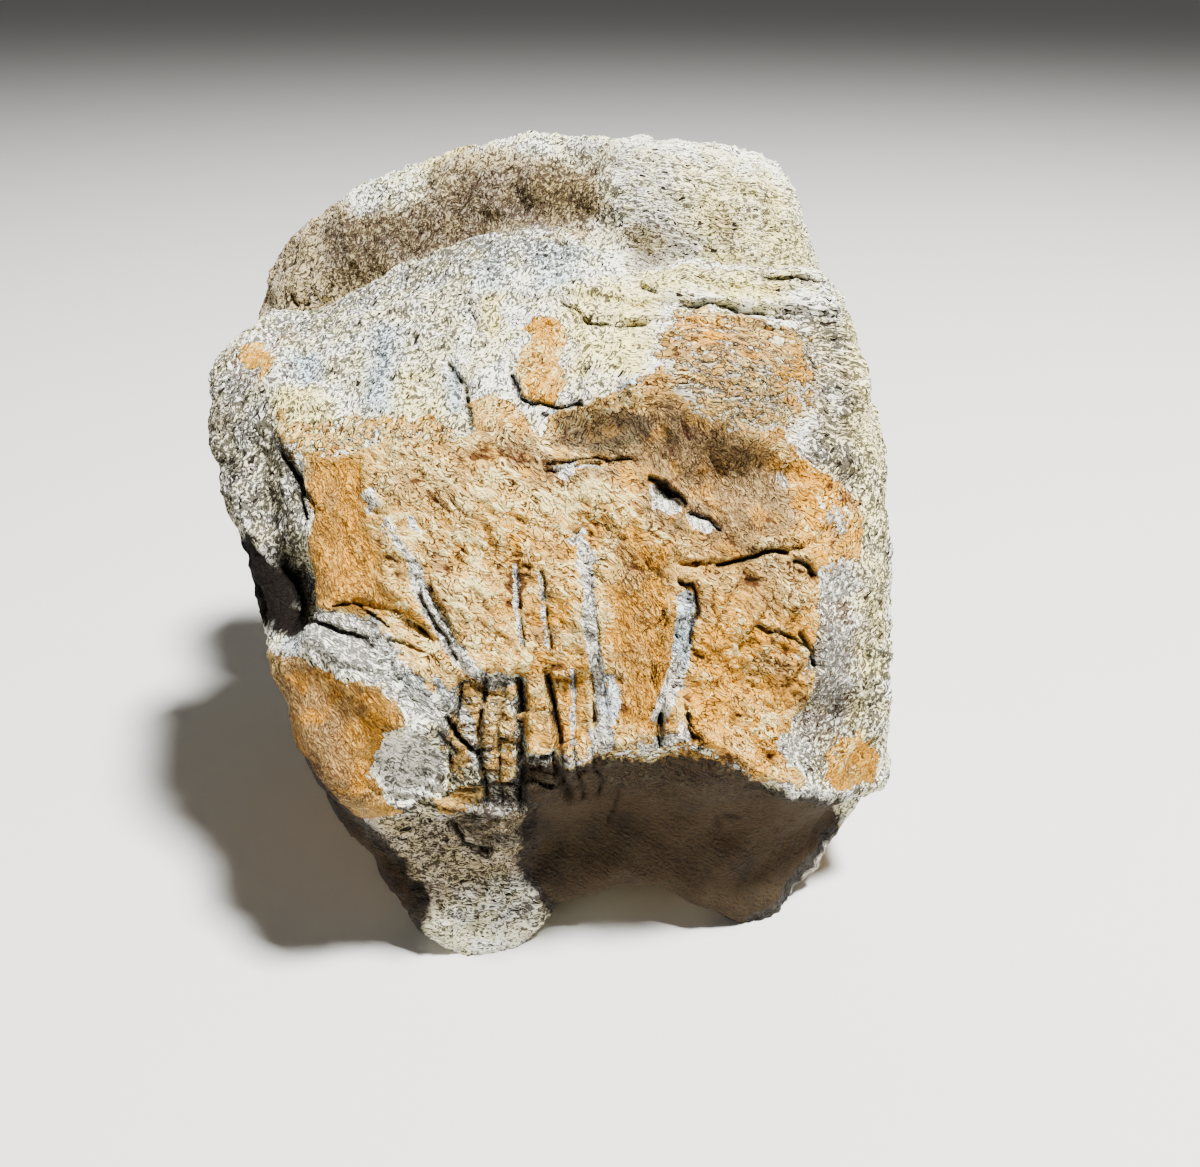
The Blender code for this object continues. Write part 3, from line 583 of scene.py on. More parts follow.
@dataclass
class BoneForm:
    """The large form of the bone: outlines in millimetres, lofted from front to rear."""

    front_rim: Station = (
        (15, -43, 40), (3, -43, 35), (-8, -42, 20), (-17, -44, 23), (-28, -45, 38),
        (-34.5, -36, 50), (-39, -27, 59), (-47, -11, 72), (-49, 5, 79), (-38, 10, 83),
        (-22, 10, 90), (-4, 11, 96), (14, 5, 92), (29, 3, 91), (40.5, 1, 90), (46, -7, 80),
        (49.5, -15, 66), (51, -21, 47), (52, -24, 31), (52, -27, 19), (37, -37, 27),
        (25, -42, 38))
    shoulder: Station = (
        (15, -34, 8.5), (4, -34, 5), (-3, -36.5, -1), (-13.5, -37, -1), (-24.5, -35, 14),
        (-34, -30, 33), (-40, -20, 50), (-49, -4, 64), (-53, 12, 74), (-42, 17, 82),
        (-24, 18, 88), (-4, 19, 93), (14, 14, 89), (29, 12, 89), (43, 9, 88), (48.7, 2, 79),
        (52, -5, 64), (53, -11, 46), (53, -14, 30), (52, -17, 15), (41, -28, 2), (32, -34, -1))
    waist: Station = (
        (15, 0, 11), (4, 0, 8), (-4.5, 0, -1), (-17, 0, -1), (-26, 2, 10), (-34, 6, 28),
        (-40, 10, 44), (-44, 16, 58), (-46, 22, 68), (-38, 25, 77), (-22, 25, 84), (-4, 26, 90),
        (14, 24, 88), (28, 22, 87), (39, 19, 83), (44, 15, 74), (45, 10, 60), (44, 5, 45),
        (43, 2, 30), (41, 0, 14), (36, 0, -1), (27, 0, -1))
    rear_rim: Station = (
        (15, 33, 11), (4, 33, 8), (-5.5, 33, -1), (-20, 33, -1), (-35, 33, 12), (-45, 34, 30),
        (-51, 36, 48), (-53, 37, 62), (-52.5, 38, 76), (-47.5, 38, 87.5), (-35, 38, 96.5),
        (-21.5, 38, 102), (-3, 38, 105), (18, 38, 105), (33, 37, 102.5), (42, 36, 97.5),
        (46, 35, 84), (48, 34, 64), (49, 34, 45), (47, 34, 26), (40, 33, 8), (27, 33, -1))
    face_centre: tuple[float, float, float] = (5, -25, 62)
    face_shares: tuple[float, ...] = (0.0, 0.25, 0.5, 0.72, 0.88)
    face_lean: float = math.radians(46)
    face_swell: float = 7.0
    brow_scoop: float = 4.0
    rear_centre: tuple[float, float, float] = (0, 45, 54)
    rear_edge_y: float = 47.0
    rear_edge_share: float = 0.9
    points_around: int = 720
    rings_by_span: tuple[int, ...] = (44, 50, 46, 34, 26, 14, 16, 42, 40, 18, 24, 22)
    merge_reach: float = 0.2

    @staticmethod
    def spline(points: np.ndarray, steps: np.ndarray, closed: bool = False) -> np.ndarray:
        """Smooth curve through points.

        Args:
            points: Points of the curve, or whole rows of points.
            steps: Places along the curve, in units of one span.
            closed: Whether the last point joins the first.

        Returns:
            The curve read at every step.
        """
        last = len(points) - 1
        span = np.floor(steps).astype(int)
        if not closed:
            span = np.clip(span, 0, last - 1)
        t = (steps - span).reshape((-1,) + (1,) * (points.ndim - 1))

        def pick(offset: int) -> np.ndarray:
            """Points that lie offset spans further on."""
            index = span + offset
            return points[index % len(points) if closed else np.clip(index, 0, last)]

        before, start, end, after = pick(-1), pick(0), pick(1), pick(2)
        return 0.5 * (2 * start + (end - before) * t
                      + (2 * before - 5 * start + 4 * end - after) * t ** 2
                      + (3 * start - before - 3 * end + after) * t ** 3)

    def face_stations(self) -> list[np.ndarray]:
        """Outlines of the front face, from its middle out to just inside its rim."""
        rim = np.asarray(self.front_rim, dtype=float)
        centre = np.asarray(self.face_centre, dtype=float)
        outward = np.array((0.0, -math.cos(self.face_lean), math.sin(self.face_lean)))
        upward = np.array((0.0, math.sin(self.face_lean), math.cos(self.face_lean)))
        reach = rim - centre
        lift = reach @ outward - self.face_swell
        flat = reach - (reach @ outward)[:, None] * outward

        def bowl(share: float) -> np.ndarray:
            """Terms of the shallow bowl that carries the face, at one share of its reach."""
            a, b = reach[:, 0] * share, reach @ upward * share
            return np.stack((a, b, a * a, a * b, b * b), axis=1)

        fit = np.linalg.lstsq(bowl(1.0), lift, rcond=None)[0]
        rest = lift - bowl(1.0) @ fit
        rows = []
        for share in self.face_shares:
            height = self.face_swell + bowl(share) @ fit + rest * share ** 5
            rows.append(centre + flat * share + height[:, None] * outward)
        return rows

    def stations(self) -> list[np.ndarray]:
        """All outlines, from the middle of the front face to the middle of the rear face."""
        front, shoulder, waist, rear = (
            np.asarray(outline, dtype=float)
            for outline in (self.front_rim, self.shoulder, self.waist, self.rear_rim))
        turn = np.linspace(0, 2 * np.pi, len(front), endpoint=False)
        brow = (front + shoulder) / 2
        brow[:, 1] += self.brow_scoop * np.clip(np.cos(turn), 0, 1) ** 4
        centre = np.asarray(self.rear_centre, dtype=float)
        edge = centre + (rear - centre) * self.rear_edge_share
        edge[:, 1] = self.rear_edge_y
        back = [centre + (edge - centre) * share for share in (0.5, 0.0)]
        return self.face_stations() + [front, brow, shoulder, waist, rear, edge] + back

    def loft(self) -> bpy.types.Mesh:
        """Wraps a grid round the bone.

        Returns:
            A closed mesh in millimetres, with every point's station kept on it.
        """
        around = np.arange(self.points_around) * len(self.front_rim) / self.points_around
        rows = np.stack([self.spline(row, around, closed=True) for row in self.stations()])
        steps = np.concatenate([i + np.arange(count) / count
                                for i, count in enumerate(self.rings_by_span)])
        steps = np.append(steps, len(self.rings_by_span))
        surface = self.spline(rows, steps)
        bm = bmesh.new()
        bmesh.ops.create_grid(bm, x_segments=self.points_around, y_segments=len(steps) - 1,
                              size=1.0)
        station = bm.verts.layers.float.new("station")
        for vert in bm.verts:
            column = round((vert.co.x + 1) / 2 * self.points_around) % self.points_around
            row = round((vert.co.y + 1) / 2 * (len(steps) - 1))
            vert.co = surface[row, column]
            vert[station] = steps[row]
        bmesh.ops.remove_doubles(bm, verts=bm.verts, dist=self.merge_reach)
        bmesh.ops.recalc_face_normals(bm, faces=bm.faces)
        mesh = bpy.data.meshes.new(NODE)
        bm.to_mesh(mesh)
        bm.free()
        return mesh


@dataclass
class WornFront:
    """Everything that the weather and old breaks did to the side that is looked at."""

    swells: tuple[Swell, ...] = (
        Swell(27, 64, 11, 8, -12, 3.2, 1.3),
        Swell(8, 57, 9, 4, -16, -2.4, 1.2),
        Swell(29, 51, 13, 4, -4, -2.6, 1.2),
        Swell(2, 36, 22, 14, 0, -1.5, 1.0),
        Swell(-34.5, 36, 4.5, 7, 20, -7.0, 1.6),
        Swell(-38, 47, 3, 4, 20, -2.5, 1.4),
        Swell(-40, 54, 3, 3, 0, -1.6, 1.2),
        Swell(38, 42, 6, 5, 10, 1.6, 1.5),
        Swell(36, 30, 6, 7, -10, 1.2, 1.4),
        Swell(43, 17, 5, 6, 0, -1.6, 1.4),
        Swell(-19, 31, 8, 4, -15, -2.2, 1.6),
        Swell(-17.5, 11.8, 6, 5, 10, -1.4, 1.8),
        Swell(-14, -2, 9, 5, -30, -2.0, 1.4),
        Swell(-3, -9, 6, 4, 10, 1.8, 1.4),
        Swell(-12, -11, 5, 3, 20, 1.2, 1.4),
        Swell(13, 86, 5, 4, 0, -4.5, 1.2),
        Swell(23, 85, 5, 3, 0, 1.6, 1.2),
        Swell(17.4, 49.4, 1.8, 1.0, -35, -2.2, 2.0),
        Swell(17.2, 17.0, 1.8, 2.0, 0, -2.0, 1.6),
        Swell(21.7, 15.6, 1.5, 1.4, 0, -2.0, 2.0),
        Swell(-22, 106, 8, 4, 10, -1.2, 1.3),
        Swell(3, 108, 4, 3, 0, -1.2, 1.5),
        Swell(-12, 99, 16, 5, 8, -1.6, 1.2),
        Swell(26, 100, 10, 6, 0, 1.2, 1.2))
    arrises: tuple[Line, ...] = (
        Line(((-43, 74), (-36, 62), (-32, 54), (-29, 40), (-27, 31)), 5.0, 2.4),
        Line(((-30, 29), (-25, 26), (-19, 21), (-15, 16)), 3.2, 2.0),
        Line(((44, 64), (45, 50), (45, 36), (44, 24)), 3.0, 1.2),
        Line(((-43, 76), (-35, 81), (-25, 85), (-15, 89), (-4, 94), (2, 94), (8, 90), (13, 84),
              (20, 84.5), (26, 85), (34, 82), (45, 79.5)), 2.0, 1.0),
        Line(((-46, 80), (-35, 86), (-25, 90), (-15, 94), (-4, 99), (4, 98.5), (12, 93),
              (20, 90.5), (32, 88), (44, 85)), 2.8, -1.5))
    strata: tuple[Strata, ...] = (
        Strata(24, 76, 24, 6.5, -3, 3.6, 1.5),
        Strata(-20, 70, 22, 9, 22, 5.2, 1.1),
        Strata(-14, -1, 11, 11, -16, 2.3, 2.0),
        Strata(-7, 16, 5, 9, 3, 1.5, 0.6),
        Strata(38, 28, 6, 22, 62, 4.4, 1.4),
        Strata(-21, 29, 9, 5, -18, 3.4, 1.6),
        Strata(-37, 52, 5, 16, 70, 4.0, 1.1),
        Strata(34, 104, 14, 7, -8, 3.6, 1.2))
    cracks: tuple[Line, ...] = (
        Line(((6.9, 43), (6.8, 36), (7.2, 31), (8, 26), (9.6, 14)), 1.0, 0.3),
        Line(((20.6, 36), (19.9, 31), (19.2, 26), (17.7, 21.5), (16.4, 15)), 1.2, 1.3),
        Line(((-14, 36), (-12, 31), (-10, 27), (-7, 21)), 0.7, 1.1),
        Line(((20.4, 39.5), (26, 39), (31.6, 41), (36, 41.7), (40.5, 45)), 0.65, 1.0),
        Line(((1.6, 52), (6, 52.4), (12, 52.7)), 0.5, 0.9),
        Line(((-33.5, 53.5), (-31.6, 49), (-30.4, 45)), 0.65, 1.1),
        Line(((-24, 34.5), (-19, 33), (-14.5, 29)), 0.65, 1.1),
        Line(((26, 2.5), (27, 0.5)), 0.5, 0.7))
    block_joints: tuple[tuple[float, float, float, float], ...] = (
        (-10.2, -12.4, 0.5, 1.4), (-6.8, -7.6, 0.5, 1.7), (-4.4, -5.2, 0.28, 0.9),
        (-2.3, -2.0, 0.95, 2.6), (1.4, 4.0, 0.8, 2.6), (4.9, 5.9, 0.35, 1.3),
        (7.5, 8.6, 0.4, 1.3))
    block_rows: tuple[tuple[float, ...], ...] = (
        (19.5, 13.2, 9.0), (24.4, 16.4, 8.8), (21.6, 14.4, 11.8),
        (24.2, 18.2, 15.8, 9.4), (19.8, 14.6, 12.2, 9.8), (23.8, 15.6, 11.0),
        (24.8, 17.8, 13.0), (21.6, 16.2, 12.4))
    block_steps: tuple[float, ...] = (0.0, -1.4, -0.4, -2.0, -0.9, 0.4, -1.2, -0.2, -1.7)
    block_left: Span = (-12.6, -10.6)
    block_right: Span = (8.4, 10.0)
    block_top: float = 25.0
    block_foot: float = 7.0
    row_half_width: float = 0.4
    row_depth: float = 0.9
    row_shade: float = 0.55
    block_wander: float = 0.3
    wander: float = 1.3
    wander_size: float = 7.0
    wander_seed: int = 1

    def blocks(self, across: np.ndarray, up: np.ndarray) -> tuple[np.ndarray, np.ndarray]:
        """The checkered break over the left stump.

        Args:
            across: Place of every point across the picture.
            up: Place of every point up the picture.

        Returns:
            Depth of the break, and how much of an open joint is at every point.
        """
        share = np.clip((self.block_top - up) / (self.block_top - self.block_foot), -0.3, 1.3)
        column = np.zeros(across.shape, dtype=int)
        gap, cut = np.zeros(across.shape), np.zeros(across.shape)
        for top, foot, half_width, depth in self.block_joints:
            line = top + (foot - top) * share
            column += across > line
            open_here = np.clip(1 - np.abs(across - line) / half_width, 0, 1)
            gap = np.maximum(gap, open_here)
            cut = np.maximum(cut, depth * open_here ** 0.6)
        level = np.zeros(across.shape)
        steps = np.array(self.block_steps)
        for index, rows in enumerate(self.block_rows):
            here = column == index
            row = np.searchsorted(np.array(rows[::-1]), up[here])
            level[here] = steps[(index * 4 + row * 3) % len(steps)]
            near = np.min([np.abs(up[here] - line) for line in rows], axis=0)
            open_here = np.clip(1 - near / self.row_half_width, 0, 1)
            gap[here] = np.maximum(gap[here], self.row_shade * open_here)
            cut[here] = np.maximum(cut[here], self.row_depth * open_here)
        inside = smoothstep(across, *self.block_left)
        inside = inside * (1 - smoothstep(across, *self.block_right))
        inside *= smoothstep(up, self.block_foot - 2.5, self.block_foot + 1)
        inside *= 1 - smoothstep(up, self.block_top - 1.5, self.block_top + 1)
        return (level - cut) * inside, gap * inside


@dataclass
class Weathering:
    """Lumps over the whole bone, pits on its sides and the dish of the rear face."""

    lumps: tuple[tuple[float, float], ...] = ((26.0, 1.3), (11.0, 1.3), (5.5, 0.9))
    lump_seed: tuple[float, float, float] = (3.1, 7.7, 1.9)
    pits: tuple[tuple[tuple[float, float, float], float, float], ...] = (
        ((-46, 10, 50), 4.0, 2.2), ((-42, 0, 36), 3.0, 1.8), ((48, 8, 50), 4.5, 2.2),
        ((47, 4, 28), 3.0, 1.6), ((-20, 47, 70), 5.0, 2.0), ((16, 47, 44), 6.0, 1.6),
        ((-8, 47, 30), 4.0, 1.4), ((30, 47, 80), 4.5, 1.8))
    rear_dish: float = 5.0
    rear_dish_radius: float = 34.0

    def height(self, places: np.ndarray, normals: np.ndarray,
               centre: tuple[float, float, float]) -> np.ndarray:
        """Rise of the skin at every point.

        Args:
            places: Points in millimetres.
            normals: Outward direction at every point.
            centre: Middle of the rear face.

        Returns:
            Rise along the outward direction, in millimetres.
        """
        height = np.zeros(len(places))
        shift = np.array(self.lump_seed)
        for size, rise in self.lumps:
            height += rise * lumps(places + shift * size, size)
        for middle, radius, depth in self.pits:
            far = np.linalg.norm(places - np.array(middle), axis=1) / radius
            height -= depth * np.exp(-far ** 4)
        from_middle = np.hypot(places[:, 0] - centre[0], places[:, 2] - centre[2])
        back = smoothstep(normals[:, 1], 0.6, 0.9)
        return height - self.rear_dish * back * (1 - smoothstep(from_middle, 0,
                                                                self.rear_dish_radius))


@dataclass(frozen=True)
class GrainRegions:
    """Where the fibres turn, as spans in millimetres across or up the picture."""

    crest: Span = (54, 58)
    right: Span = (8, 16)
    far_right: Span = (38, 42)
    foot: Span = (6, 9)
    foot_side: Span = (-3, 2)
    left_band: Span = (-33, -30)
    under: Span = (4, 12)
    blur: float = 2.0
    blur_size: float = 6.0


@dataclass
class Vertebra:
    """The whole bone: its form, its worn front, its fine relief and its masks."""

    form: BoneForm = field(default_factory=BoneForm)
    front: WornFront = field(default_factory=WornFront)
    weather: Weathering = field(default_factory=Weathering)
    regions: GrainRegions = GrainRegions()
    faces_kept: int = 198000
    mend_rings: int = 1
    mend_facing: tuple[float, float, float] = (0.0, -0.88, 0.47)
    contact_level: float = 0.35
    fibres_left: Grain = Grain(62, 5.0, 1.1)
    fibres_level: Grain = Grain(-7, 7.0, 1.2)
    fibres_falling: Grain = Grain(-33, 6.0, 1.1)
    fibres_steep: Grain = Grain(-60, 6.0, 0.9)
    fibres_long: Grain = Grain(0, 9.0, 1.5, along_bone=True)
    wrinkle_height: float = 0.42
    flake_height: float = 1.5
    pore_depth: float = 0.5
    fibre_height: float = 0.25
    crumb_size: float = 2.6
    crumb_height: float = 0.4
    chalk_depth: float = 0.3
    swirl_size: float = 6.0
    swirl_reach: float = 1.2
    strut_spacing: float = 2.0
    crack_drift: float = 0.7
    crack_drift_size: float = 3.0
    # Outline of the deep left hollow, used only to paint its shade.
    left_hollow_shade: Swell = Swell(-35, 36.5, 3.4, 6.5, 20, 1.0, 2.5)

    @staticmethod
    def read(mesh: bpy.types.Mesh) -> tuple[np.ndarray, np.ndarray]:
        """Positions and outward directions of every point of a mesh."""
        count = len(mesh.vertices)
        places, normals = np.empty(count * 3), np.empty(count * 3)
        mesh.vertices.foreach_get("co", places)
        mesh.vertex_normals.foreach_get("vector", normals)
        return places.reshape(-1, 3), normals.reshape(-1, 3)

    @staticmethod
    def write(mesh: bpy.types.Mesh, places: np.ndarray) -> None:
        """Moves every point of a mesh to its new place."""
        mesh.vertices.foreach_set("co", places.ravel())
        mesh.update()

    @staticmethod
    def picture(places: np.ndarray) -> tuple[np.ndarray, np.ndarray]:
        """Place of every point across and up the picture, in millimetres."""
        return places[:, 0], places @ UP_THE_PICTURE

    @staticmethod
    def facing(places: np.ndarray, normals: np.ndarray, low: float, high: float) -> np.ndarray:
        """How far every point faces the eye, eased from 0 at low to 1 at high.

        Args:
            places: Points in millimetres.
            normals: Outward direction at every point.
            low: Cosine to the line of sight at which the share leaves 0.
            high: Cosine at which it reaches 1.

        Returns:
            A share from 0 to 1.
        """
        sight = EYE - places
        sight /= np.linalg.norm(sight, axis=1)[:, None]
        return smoothstep(np.einsum("ij,ij->i", normals, sight), low, high)

    def carve(self, mesh: bpy.types.Mesh) -> dict[str, np.ndarray]:
        """Carves the large wear and breaks.

        Args:
            mesh: The lofted bone in millimetres; its points are moved.

        Returns:
            How far every point faces the viewer, how much open joint it carries, and the
            outward direction of the smooth form there.
        """
        places, normals = self.read(mesh)
        across, up = self.picture(places)
        shown = self.facing(places, normals, -0.15, 0.12)
        noise.seed_set(self.front.wander_seed)
        drift = np.array([noise.noise_vector(p)[:2]
                          for p in (places / self.front.wander_size).tolist()])
        rise = sum(swell.raise_at(across, up) for swell in self.front.swells)
        rise += sum(arris.height * arris.rounded(across, up) for arris in self.front.arrises)
        across = across + self.front.wander * drift[:, 0]
        up = up + self.front.wander * drift[:, 1]
        rise += sum(layers.raise_at(across, up) for layers in self.front.strata)
        sunk = np.zeros(len(places))
        for crack in self.front.cracks:
            sunk = np.minimum(sunk, -crack.height * crack.grooved(across, up))
        back = self.front.block_wander * self.front.wander
        depth, gap = self.front.blocks(across - back * drift[:, 0], up - back * drift[:, 1])
        places += normals * (rise * shown)[:, None]
        places += TOWARDS_VIEWER * ((sunk + depth) * shown)[:, None]
        places += normals * self.weather.height(places, normals, self.form.rear_centre)[:, None]
        self.write(mesh, places)
        return {"shown": shown, "gap": gap * shown, "outward": normals}

    def masks(self, places: np.ndarray, shown: np.ndarray,
              station: np.ndarray) -> dict[Surface, np.ndarray]:
        """Where each kind of surface lies.

        Args:
            places: Points in millimetres.
            shown: How far every point faces the viewer.
            station: Station of every point along the loft.

        Returns:
            A mask from 0 to 1 for every kind of surface.
        """
        across, up = self.picture(places)
        coarse = [lumps(places, 5.5, seed) for seed in (11.0, 23.0)]
        fine = [lumps(places, 1.6, seed) for seed in (31.0, 47.0)]
        seen = shown > 0.02
        found: dict[Surface, np.ndarray] = {}
        for surface, patches in PATCHES.items():
            mask = np.zeros(len(places))
            for patch in patches:
                a = across[seen] + patch.ragged * (1.1 * coarse[0] + 0.9 * fine[0])[seen]
                u = up[seen] + patch.ragged * (1.1 * coarse[1] + 0.9 * fine[1])[seen]
                mask[seen] = np.maximum(mask[seen], patch.cover(a, u))
            found[surface] = mask * smoothstep(shown, 0.0, 0.4)
        veined = sum(smoothstep(vein.rounded(across + 0.5 * coarse[0] + 0.3 * fine[0],
                                             up + 0.5 * coarse[1]), 0.25, 0.6) * vein.height
                     for vein in VEINS)
        found[Surface.CHALK] = np.maximum(found[Surface.CHALK], np.clip(veined, 0, 1) * shown)
        self.clothe_unseen(found, places, 1 - smoothstep(shown, 0.0, 0.4), station)
        return found

    @staticmethod
    def clothe_unseen(found: dict[Surface, np.ndarray], places: np.ndarray,
                      hidden: np.ndarray, station: np.ndarray) -> None:
        """Adds the sides, back and underside to the masks.

        Args:
            found: The masks so far, which are added to.
            places: Points in millimetres.
            hidden: How far every point is turned away from the viewer.
            station: Station of every point along the loft.
        """
        broad = lumps(places, 17.0, 3.0) + 0.5 * lumps(places, 7.0, 9.0)
        detail = lumps(places, 3.2, 13.0)
        side = smoothstep(station, 6.9, 7.5) * (1 - smoothstep(station, 8.5, 9.0))
        rear = smoothstep(station, 10.4, 11.1)
        skin = side * smoothstep(broad + 0.3 * detail, -0.42, -0.2)
        skin = np.maximum(skin, rear * smoothstep(broad + 0.4 * detail, -0.25, 0.0))
        found[Surface.SKIN] = np.maximum(found[Surface.SKIN], hidden * skin)
        chalky = lumps(places, 6.0, 43.0) + 0.4 * detail
        found[Surface.CHALK] = np.maximum(found[Surface.CHALK],
                                          0.7 * hidden * smoothstep(chalky, 0.34, 0.5))
        for surface, strength, size, seed, low, high in UNSEEN_CLOUDS:
            cover = strength * hidden * smoothstep(lumps(places, size, seed), low, high)
            found[surface] = np.maximum(found[surface], cover)

    def under(self, up: np.ndarray) -> np.ndarray:
        """Share of the smooth hollow between the stumps at every height up the picture."""
        return 1 - smoothstep(up, *self.regions.under)

    def grain_shares(self, places: np.ndarray, shown: np.ndarray) -> np.ndarray:
        """How much of each fibre direction is at every point.

        Args:
            places: Points in millimetres.
            shown: How far every point faces the viewer.

        Returns:
            Shares of rising, level and falling fibres; what is left runs along the bone.
        """
        across, up = self.picture(places)
        regions = self.regions
        blur = regions.blur * lumps(places, regions.blur_size, 61.0)
        crest = smoothstep(up + blur, *regions.crest)
        right = smoothstep(across + blur, *regions.right)
        far_right = smoothstep(across + blur, *regions.far_right)
        foot = 1 - smoothstep(up + blur + 0.3 * np.abs(across + 14), *regions.foot)
        foot *= 1 - smoothstep(across + blur, *regions.foot_side)
        left_band = 1 - smoothstep(across + blur - 0.12 * (up - 40), *regions.left_band)
        rising = np.clip(crest * (1 - right) + left_band + far_right * (1 - crest), 0, 1)
        level = np.clip(crest * right + foot, 0, 1) * (1 - left_band)
        rising *= 1 - foot
        falling = np.clip(1 - rising - level, 0, 1)
        shares = np.stack((rising, level, falling), axis=1)
        shares /= np.maximum(shares.sum(axis=1, keepdims=True), 1e-6)
        return shares * smoothstep(shown, 0.0, 0.3)[:, None]

    @staticmethod
    def steep_share(across: np.ndarray, up: np.ndarray, shown: np.ndarray) -> np.ndarray:
        """Share of steeply falling fibres: the lower-left facet, the wood-like patch and others.

        Args:
            across: Place of every point across the picture.
            up: Place of every point up the picture.
            shown: How far every point faces the viewer.

        Returns:
            A share from 0 to 1.
        """
        return shown * np.maximum.reduce([patch.cover(across, up) for patch in STEEP])

    def roughen(self, mesh: bpy.types.Mesh, carved: dict[str, np.ndarray]) -> None:
        """Adds the fine relief and keeps the masks on the mesh.

        Args:
            mesh: The carved bone in millimetres; its points are moved.
            carved: What carve returned.
        """
        places, normals = self.read(mesh)
        station = np.empty(len(places), dtype=np.float32)
        mesh.attributes["station"].data.foreach_get("value", station)
        gap = carved["gap"]
        shown = np.maximum(carved["shown"], self.facing(places, normals, -0.4, -0.1))
        across, up = self.picture(places)
        found = self.masks(places, shown, station)
        skin, chalk = found[Surface.SKIN], found[Surface.CHALK]
        shares = self.grain_shares(places, shown)
        steep = self.steep_share(across, up, shown)
        shares *= 1 - steep[:, None]
        rest = 1 - steep - shares.sum(axis=1)

        swirl = places + self.swirl_reach * np.stack(
            [lumps(places, self.swirl_size, seed) for seed in (71.0, 73.0, 79.0)], 1)
        grains = (self.fibres_left, self.fibres_level, self.fibres_falling,
                  self.fibres_steep, self.fibres_long)
        parts = (shares[:, 0], shares[:, 1], shares[:, 2], steep, rest)
        fibres, folds, flakes, feet = (np.zeros(len(places)) for _ in range(4))
        for grain, part in zip(grains, parts):
            here = part > 0.02
            stretched = grain.stretch(swirl[here])
            fibres[here] += part[here] * lumps(stretched, 1.0, 83.0)
            folds[here] += part[here] * ridges(stretched * np.array(SHORT_FIBRES), 1.0, 89.0)
            tread, foot = terraces(stretched * np.array((0.9, 0.42, 0.42)), 1.0, 2.6, 91.0)
            flakes[here] += part[here] * tread
            feet[here] += part[here] * foot

        near, second = cells(swirl + 0.5 * fibres[:, None], self.strut_spacing, 97.0)
        struts = smoothstep(second - near, 0.0, 0.4)
        spongy = np.clip(1 - skin, 0, 1)
        loud = 0.55 + 0.45 * shown
        tidy = smoothstep(across, -13, -10) * (1 - smoothstep(across, 9, 12))
        tidy *= smoothstep(up, 6, 9) * (1 - smoothstep(up, 23, 26))
        right = smoothstep(across + 4 * lumps(places, 9.0, 113.0), 8, 20)
        smooth_skin = 1 - 0.65 * np.clip(found[Surface.OCHRE] * (1 - right) + self.under(up)
                                         + tidy, 0, 1)
        fine = self.fibre_height * fibres
        fine += self.wrinkle_height * skin * smooth_skin * (folds - 0.2)
        fine += self.flake_height * (0.35 + 0.65 * skin) * smooth_skin * flakes
        fine -= self.pore_depth * spongy * (struts - 0.5) * smoothstep(fibres, -0.5, 0.2)
        crumbs = self.crumb_height * lumps(places, self.crumb_size, 101.0)
        relief = fine * loud + crumbs * (0.5 + 0.5 * spongy)

        crooked = np.stack([lumps(places, self.crack_drift_size, seed)
                            for seed in (103.0, 107.0)], 1) * self.crack_drift
        opened = np.zeros(len(places))
        for crack in HAIRLINES:
            cut = crack.grooved(across + crooked[:, 0], up + crooked[:, 1]) * crack.height
            opened = np.maximum(opened, cut)
        opened *= shown
        still_skin = 1 - smoothstep(spongy, 0.2, 0.8)
        relief -= (self.chalk_depth * still_skin * chalk
                   * smoothstep(lumps(places, 1.8, 109.0), -0.2, 0.3))

        places += carved["outward"] * relief[:, None]
        places -= TOWARDS_VIEWER * opened[:, None]
        self.write(mesh, places)

        # Painted shade: hairlines, open joints, cracks and the left hollow darken towards black.
        hollow = np.clip(opened + 0.8 * gap, 0, 1)
        for crack in self.front.cracks:
            hollow = np.maximum(hollow, 0.3 * (crack.height - 0.8)
                                * crack.grooved(across, up) * shown * (1 - chalk))
        hollow_shade = self.left_hollow_shade.raise_at(across + crooked[:, 0], up + crooked[:, 1])
        hollow = np.maximum(hollow, hollow_shade * shown)
        # Raised places near 1, low places and step feet near 0, for the skin's painted highlight
        # and painted shade.
        worn = 0.5 + 0.9 * fine - 0.22 * feet * smooth_skin
        self.keep(mesh, "zones", skin, found[Surface.OCHRE], found[Surface.STAIN_AND_SHADE])
        self.keep(mesh, "tints", found[Surface.BLUE], found[Surface.YELLOW], found[Surface.GREY])
        self.keep(mesh, "marks", chalk, np.clip(hollow, 0, 1), np.clip(worn, 0, 1))
        self.keep(mesh, "grain", shares[:, 0], shares[:, 1], shares[:, 2])
        self.keep(mesh, "side", right * shown, steep, self.under(up))
        # The middle channel here is painted shade.
        self.keep(mesh, "pores", found[Surface.OPEN], found[Surface.SHADE],
                  found[Surface.EARTH])

    @staticmethod
    def keep(mesh: bpy.types.Mesh, name: str, *channels: np.ndarray) -> None:
        """Stores three masks as one colour attribute of the mesh.

        Args:
            mesh: Mesh that gets the attribute.
            name: Name of the attribute.
            *channels: Three arrays from 0 to 1.
        """
        layer = mesh.attributes.new(name, "FLOAT_COLOR", "POINT")
        values = np.ones((len(mesh.vertices), 4), dtype=np.float32)
        values[:, :3] = np.stack(channels, axis=1)
        layer.data.foreach_set("color", values.ravel())

